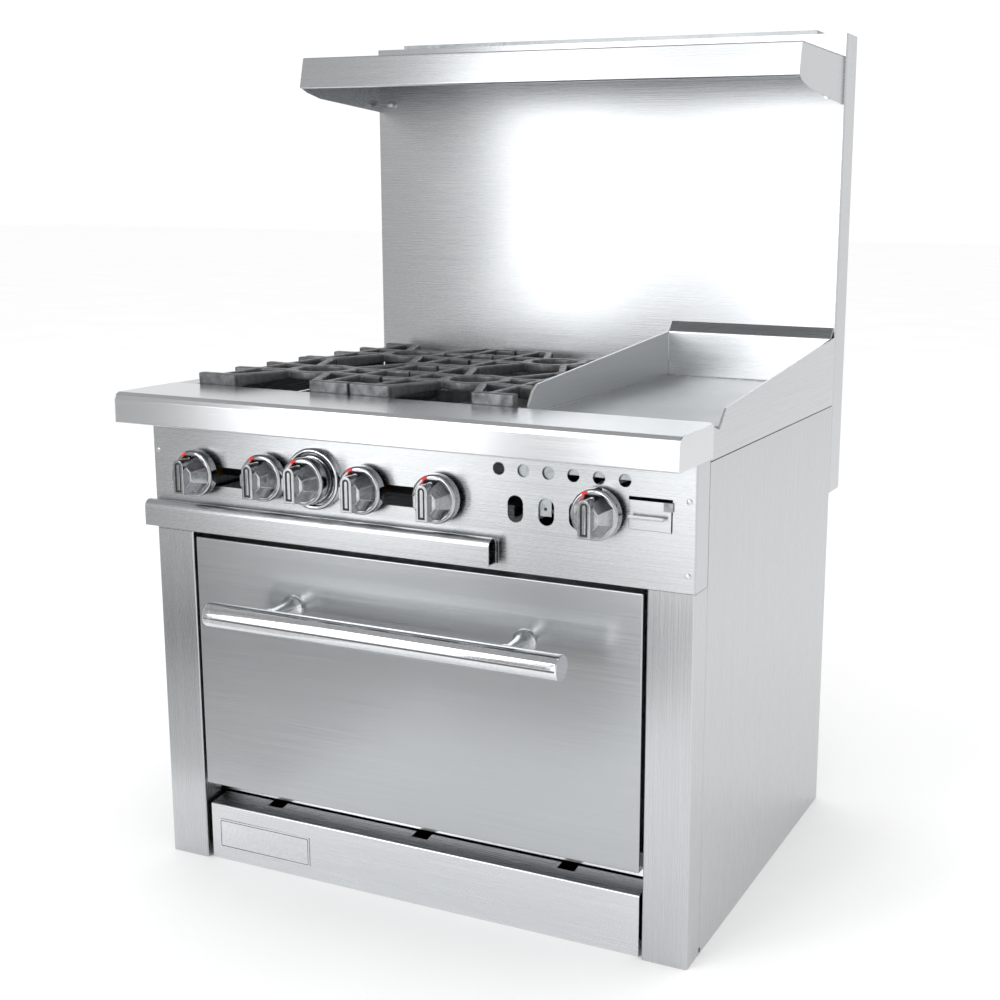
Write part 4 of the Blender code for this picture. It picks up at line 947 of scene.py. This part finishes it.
low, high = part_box("front_left_grate")
HALF_X, HALF_Y, TALL = (high.x - low.x) / 2, (high.y - low.y) / 2, high.z - low.z
WIDE, FINGER_Y, ARM_X, WEB = 0.016, 0.0425, 0.070, 0.008
full, web = (0.0, TALL), (WEB, TALL)
bars = [punched(turned(((0.010, 0.056), (TALL, 0.0565)), "Z", (0, 0, 0), 48),
                turned(((-0.01, 0.0400), (TALL + 0.01, 0.0400)), "Z", (0, 0, 0), 48))]
for side in (-1, 1):
    for end in (-1, 1):
        edge_y = end * (HALF_Y - WIDE / 2)
        bars.append(bar((side * HALF_X, edge_y), (side * ARM_X, edge_y), WIDE, full, full))
        bars.append(bar((side * (ARM_X + 0.005), edge_y - end * 0.004), (side * 0.034, end * 0.034), WIDE * 0.8,
                        (0.002, TALL), (0.010, TALL)))
        bars.append(bar((side * HALF_X, end * FINGER_Y), (side * 0.040, end * 0.030), WIDE * 0.9, full, (0.008, TALL)))
    bars.append(bar((side * 0.098, -HALF_Y + 0.004), (side * 0.098, HALF_Y - 0.004), 0.011, web, web))
casting = worked(placed("casting", as_mesh(together(*bars))),
                 ("REMESH", {"mode": "VOXEL", "voxel_size": 0.0017}),
                 ("SMOOTH", {"factor": 0.5, "iterations": 5}),
                 ("DECIMATE", {"ratio": 0.30}))
# Smoothing draws the shape in a little, so it is stretched back to the height and width it had.
spans = [(min(v.co[k] for v in casting.verts), max(v.co[k] for v in casting.verts)) for k in range(3)]
for v in casting.verts:
    for k, (start, end) in enumerate(((-HALF_X, HALF_X), (-HALF_Y, HALF_Y), (0.0, TALL))):
        v.co[k] = start + (v.co[k] - spans[k][0]) / (spans[k][1] - spans[k][0]) * (end - start)
grate_mesh = as_mesh(casting, "grate_casting")
grate_mesh.materials.append(cast_iron)
grate_mesh.shade_smooth()
for name in ("front_left_grate", "front_right_grate", "rear_left_grate", "rear_right_grate"):
    low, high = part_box(name)
    made = placed(name + "_casting", grate_mesh)
    made.location = ((low.x + high.x) / 2, (low.y + high.y) / 2, low.z)
    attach(made, name + "_body")
    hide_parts(name)


# ---- backguard, flue and high shelf -------------------------------------------------------------
# The backguard is a brushed sheet with deep side folds, closed behind by a galvanised cover; the
# oven's flue duct runs up between them. The shelf is folded from one sheet with welded end plates.

low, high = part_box("backguard")
run = [(low.x + 0.014, high.y), (low.x, high.y), (low.x, low.y), (high.x, low.y), (high.x, high.y),
       (high.x - 0.014, high.y)]
piece("backguard_sheet", fold(run, SHEET, BEND, "Z", low.z, high.z, 1), front_steel, "range_body", "stainless",
      "backguard")
dressed("backguard_cover", galvanised_sheet)
cover_low, cover_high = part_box("backguard_cover")
spots = [(x, cover_high.y, z) for x in (cover_low.x + 0.030, cover_high.x - 0.030)
         for z in (0.62, 0.84, 1.06, 1.28)]
screws("cover_screws", [(x, y - 0.0005, z) for x, y, z in spots], (0, 1, 0), bright_zinc, "range_body", "galvanised")
dressed("flue_duct", galvanised_sheet)
# A blank aluminium data plate is riveted to the cover.
plate_outline = rounded_box(-0.060, 0.965, 0.060, 1.035, 0.004)
tag = ease(prism(plate_outline, "Y", cover_high.y - 0.0004, cover_high.y + 0.0005), 0.0002, 1, 50)
tag_rivets = [turned(((cover_high.y + 0.0004, 0.0024), (cover_high.y + 0.0009, 0.0022), (cover_high.y + 0.0012, 0.0010),
                      (cover_high.y + 0.0013, 0.0)), "Y", (x, 0, z), 16) for x in (-0.054, 0.054) for z in (0.971, 1.029)]
piece("blank_data_plate", together(tag, *tag_rivets), rough_metal("anodised_aluminium_plate", "C9CBCD", "D9DBDC", 0.35,
                                                                  0.0009, 1.0, 0.05), "range_body", "galvanised")

low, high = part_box("high_shelf")
LIP_LEAN = 0.013
run = [(high.y, high.z), (low.y + LIP_LEAN, high.z), (low.y, low_lip := 1.248), (low.y + 0.012, low_lip)]
shelf = fold(run, SHEET, BEND, "X", low.x, high.x, 1)
gusset = [(low.y + 0.0025, low_lip + 0.0006), (low.y + LIP_LEAN + 0.0012, high.z - 0.0020), (high.y, high.z - 0.0020),
          (high.y, low.z), (low.y + 0.059, 1.234), (low.y + 0.019, 1.242)]
plates = [ease(prism(gusset, "X", x, x + SHEET), 0.0004, 2, 20) for x in (low.x + 0.0002, high.x - SHEET - 0.0002)]
piece("shelf_sheet", together(shelf, *plates), brushed_stainless("brushed_shelf_sheet", "X"), "range_body",
      "stainless", "high_shelf")
studs = [turned(((0.0, 0.0), (0.0005, 0.0055), (0.004, 0.006), (0.0085, 0.006)), "Y", (x, high.y - 0.0090, 1.236), 6)
         for x in (low.x + 0.026, high.x - 0.026)]
piece("shelf_bolts", together(*[ease(stud, 0.0005) for stud in studs]), bright_zinc, "range_body", "galvanised")


# ---- crumb tray and grease drawer ---------------------------------------------------------------
# The tray is a shallow folded pan under the burners; the channel rolled across its front is also
# its pull. The drawer is a narrow pan under the trough with a folded lip to pull it by.

low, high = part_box("crumb_tray")
pan_low = Vector((low.x + 0.012, low.y + 0.0215, 0.5585))
pan_high = Vector((high.x - 0.011, high.y, 0.5900))
pan = punched(block(pan_low, pan_high, 0.0010),
              block((pan_low.x + SHEET, pan_low.y + SHEET, pan_low.z + SHEET),
                    (pan_high.x - SHEET, pan_high.y - SHEET, pan_high.z + 0.02)))
CENTRE_Y, ROLL_OUT, ROLL_IN = low.y + 0.0115, 0.0115, 0.0100
turns = [math.pi * (1 - k / 16) for k in range(17)]
bend_z = high.z - ROLL_OUT
arc_out = [(CENTRE_Y + ROLL_OUT * math.cos(a), bend_z + ROLL_OUT * math.sin(a)) for a in turns]
arc_in = [(CENTRE_Y + ROLL_IN * math.cos(a), bend_z + ROLL_IN * math.sin(a)) for a in turns]
roll = bmesh.new()
outer_line = [(arc_out[0][0], low.z)] + arc_out + [(arc_out[-1][0], low.z)]
inner_line = [(arc_in[0][0], low.z)] + arc_in + [(arc_in[-1][0], low.z)]
rows = [[roll.verts.new((x, y, z)) for y, z in line] for line in (outer_line, inner_line) for x in (low.x, high.x)]
for k in range(len(outer_line) - 1):
    for p, q in ((rows[0], rows[1]), (rows[2], rows[3]), (rows[0], rows[2]), (rows[1], rows[3])):
        roll.faces.new((p[k], p[k + 1], q[k + 1], q[k]))
for k in (0, -1):
    roll.faces.new((rows[0][k], rows[1][k], rows[3][k], rows[2][k]))
hem = block((low.x + 0.003, low.y + 0.0005, low.z), (high.x - 0.003, CENTRE_Y + ROLL_IN + 0.0005, low.z + 0.0010))
piece("tray_sheet", together(pan, roll, hem), front_steel, "crumb_tray_body", "stainless", "crumb_tray")

low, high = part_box("grease_drawer")
pan_low = Vector((low.x, low.y + 0.0110, low.z))
pan = punched(block(pan_low, (high.x, high.y, high.z), 0.0006),
              block((low.x + SHEET, pan_low.y + SHEET, low.z + SHEET),
                    (high.x - SHEET, high.y - SHEET, high.z + 0.02)))
lip_z = 0.6455
run = [(pan_low.y + 0.0010, lip_z), (low.y, lip_z - 0.0015), (low.y, lip_z + 0.0040)]
lip = fold(run, 0.0012, 0.0020, "X", low.x + 0.001, high.x - 0.008, -1)
cover_plate = block((low.x - 0.0017, pan_low.y - 0.0009, low.z - 0.0017), (high.x, pan_low.y + 0.0005, high.z), 0.0003)
piece("drawer_sheet", together(pan, cover_plate, lip), front_steel, "grease_drawer_body", "stainless",
      "grease_drawer")
catch = ease(prism(rounded_box(high.x - 0.0105, high.z - 0.0115, high.x + 0.0035, high.z + 0.0010, 0.0015), "Y",
                   pan_low.y - 0.0034, pan_low.y - 0.0022), 0.0003, 1, 50)
stub = turned(((pan_low.y - 0.0038, 0.0), (pan_low.y - 0.0038, 0.0022), (pan_low.y, 0.0024), (pan_low.y, 0.0)), "Y",
              (high.x - 0.0055, 0, high.z - 0.0055), 20)
piece("drawer_catch", together(catch, stub), die_cast_zinc, "grease_drawer_body", "galvanised")


# ---- oven door ----------------------------------------------------------------------------------
# A brushed skin with deep folded sides over a galvanised inner panel, sealed by a braided gasket.
# The pull is a capped chrome tube on two flared posts, and the door turns on two pins low down.

low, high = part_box("door_outer_skin")
shell = ease(block(low, high), 0.0022, 4)
bracket_low, bracket_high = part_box("door_hinge_right")
PIN_SETBACK = 0.010
pivot_y, pivot_z = bracket_low.y + PIN_SETBACK, (bracket_low.z + bracket_high.z) / 2
pins = [turned(((-0.01, 0.0062), (0.01, 0.0062)), "X", (x, pivot_y, pivot_z), 24) for x in (low.x, high.x)]
skin = punched(shell, block((low.x + SHEET, low.y + SHEET, low.z + SHEET),
                            (high.x - SHEET, high.y + 0.01, high.z - SHEET)), *pins)
# The door sheet is given a darker tone than the other brushed sheets: painted shade, standing in for the darker floor
# it reflects.
piece("door_skin", skin, brushed_stainless("brushed_door_sheet_painted_shade", "X", "AFB2B4", "B8BABC", 0.25), "oven_door",
      "stainless", "door_outer_skin")

low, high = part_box("door_inner_panel")
inner = block(low, high, 0.0006)
raised = ease(prism(rounded_box(low.x + 0.085, low.z + 0.085, high.x - 0.085, high.z - 0.085, 0.012, 6), "Y",
                    high.y - 0.0010, high.y + 0.0016), 0.0012, 2, 50)
piece("door_lining", together(inner, raised), galvanised_sheet, "oven_door", "galvanised", "door_inner_panel")
spots = [(x, high.y, z) for x in (low.x + 0.010, high.x - 0.010) for z in (low.z + 0.03, high.z - 0.03)]
screws("door_screws", spots + [(0.0, high.y, low.z + 0.008), (0.0, high.y, high.z - 0.008)], (0, 1, 0), bright_zinc,
       "oven_door", "galvanised")

gasket_braid, tree, shader = surface("glass_fibre_braid")
where = node(tree, "TexCoord").outputs["Object"]
# The braid's strands are 1 mm wide and cross each other.
strand_a = node(tree, "TexWave", {"bands_direction": "DIAGONAL", "Scale": 160.0}, Vector=where)
turned_over = node(tree, "Mapping", {"Scale": (1.0, 1.0, -1.0)}, Vector=where)
strand_b = node(tree, "TexWave", {"bands_direction": "DIAGONAL", "Scale": 160.0}, Vector=turned_over.outputs[0])
weave = node(tree, "Math", {"operation": "MAXIMUM"}, i0=strand_a.outputs["Fac"], i1=strand_b.outputs["Fac"])
tree.links.new(two_tones(tree, weave.outputs[0], "1E1E1E", "4A4946"), shader.inputs["Base Color"])
knit = node(tree, "Bump", {"Strength": 0.6, "Distance": 0.0004}, Height=weave.outputs[0])
tree.links.new(knit.outputs["Normal"], shader.inputs["Normal"])
shader.inputs["Roughness"].default_value = 0.95
dressed("door_gasket", gasket_braid, 0.0015)

low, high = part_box("door_handle")
axis_y, axis_z, radius = (low.y + high.y) / 2, (low.z + high.z) / 2, (high.z - low.z) / 2
tube_end = [(0.0, 0.0), (0.0, radius - 0.0042), (0.0003, radius - 0.0036), (0.0003, radius - 0.0012),
            (0.0012, radius - 0.0003), (0.0030, radius), (0.0120, radius), (0.0122, radius - 0.0003),
            (0.0128, radius - 0.0003), (0.0130, radius)]
profile = [(low.x + a, r) for a, r in tube_end] + [(high.x - a, r) for a, r in reversed(tube_end)]
piece("handle_tube", turned(profile, "X", (0, axis_y, axis_z), 72), chrome_plate, "oven_door", "chrome",
      "door_handle", angle=40)
for name in ("handle_post_left", "handle_post_right"):
    low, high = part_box(name)
    x, z = (low.x + high.x) / 2, (low.z + high.z) / 2
    flare = [(low.y, 0.0), (low.y, 0.0118), (low.y + 0.0008, 0.0125), (low.y + 0.0058, 0.0125), (low.y + 0.0068, 0.0119),
             (low.y + 0.0080, 0.0107), (low.y + 0.020, 0.0101), (low.y + 0.034, 0.0105), (low.y + 0.046, 0.0116),
             (high.y - 0.0070, 0.0150), (high.y - 0.0035, 0.0180), (high.y - 0.0010, 0.0186), (high.y, 0.0184),
             (high.y, 0.0)]
    flare = [p for i, p in enumerate(flare) if i == 0 or p[0] >= flare[i - 1][0]]
    piece(name.replace("handle_post", "post") + "_casting", turned(flare, "Y", (x, 0, z), 48), chrome_plate,
          "oven_door", "chrome", name, angle=50)
for name in ("door_hinge_left", "door_hinge_right"):
    dressed(name, galvanised_sheet)
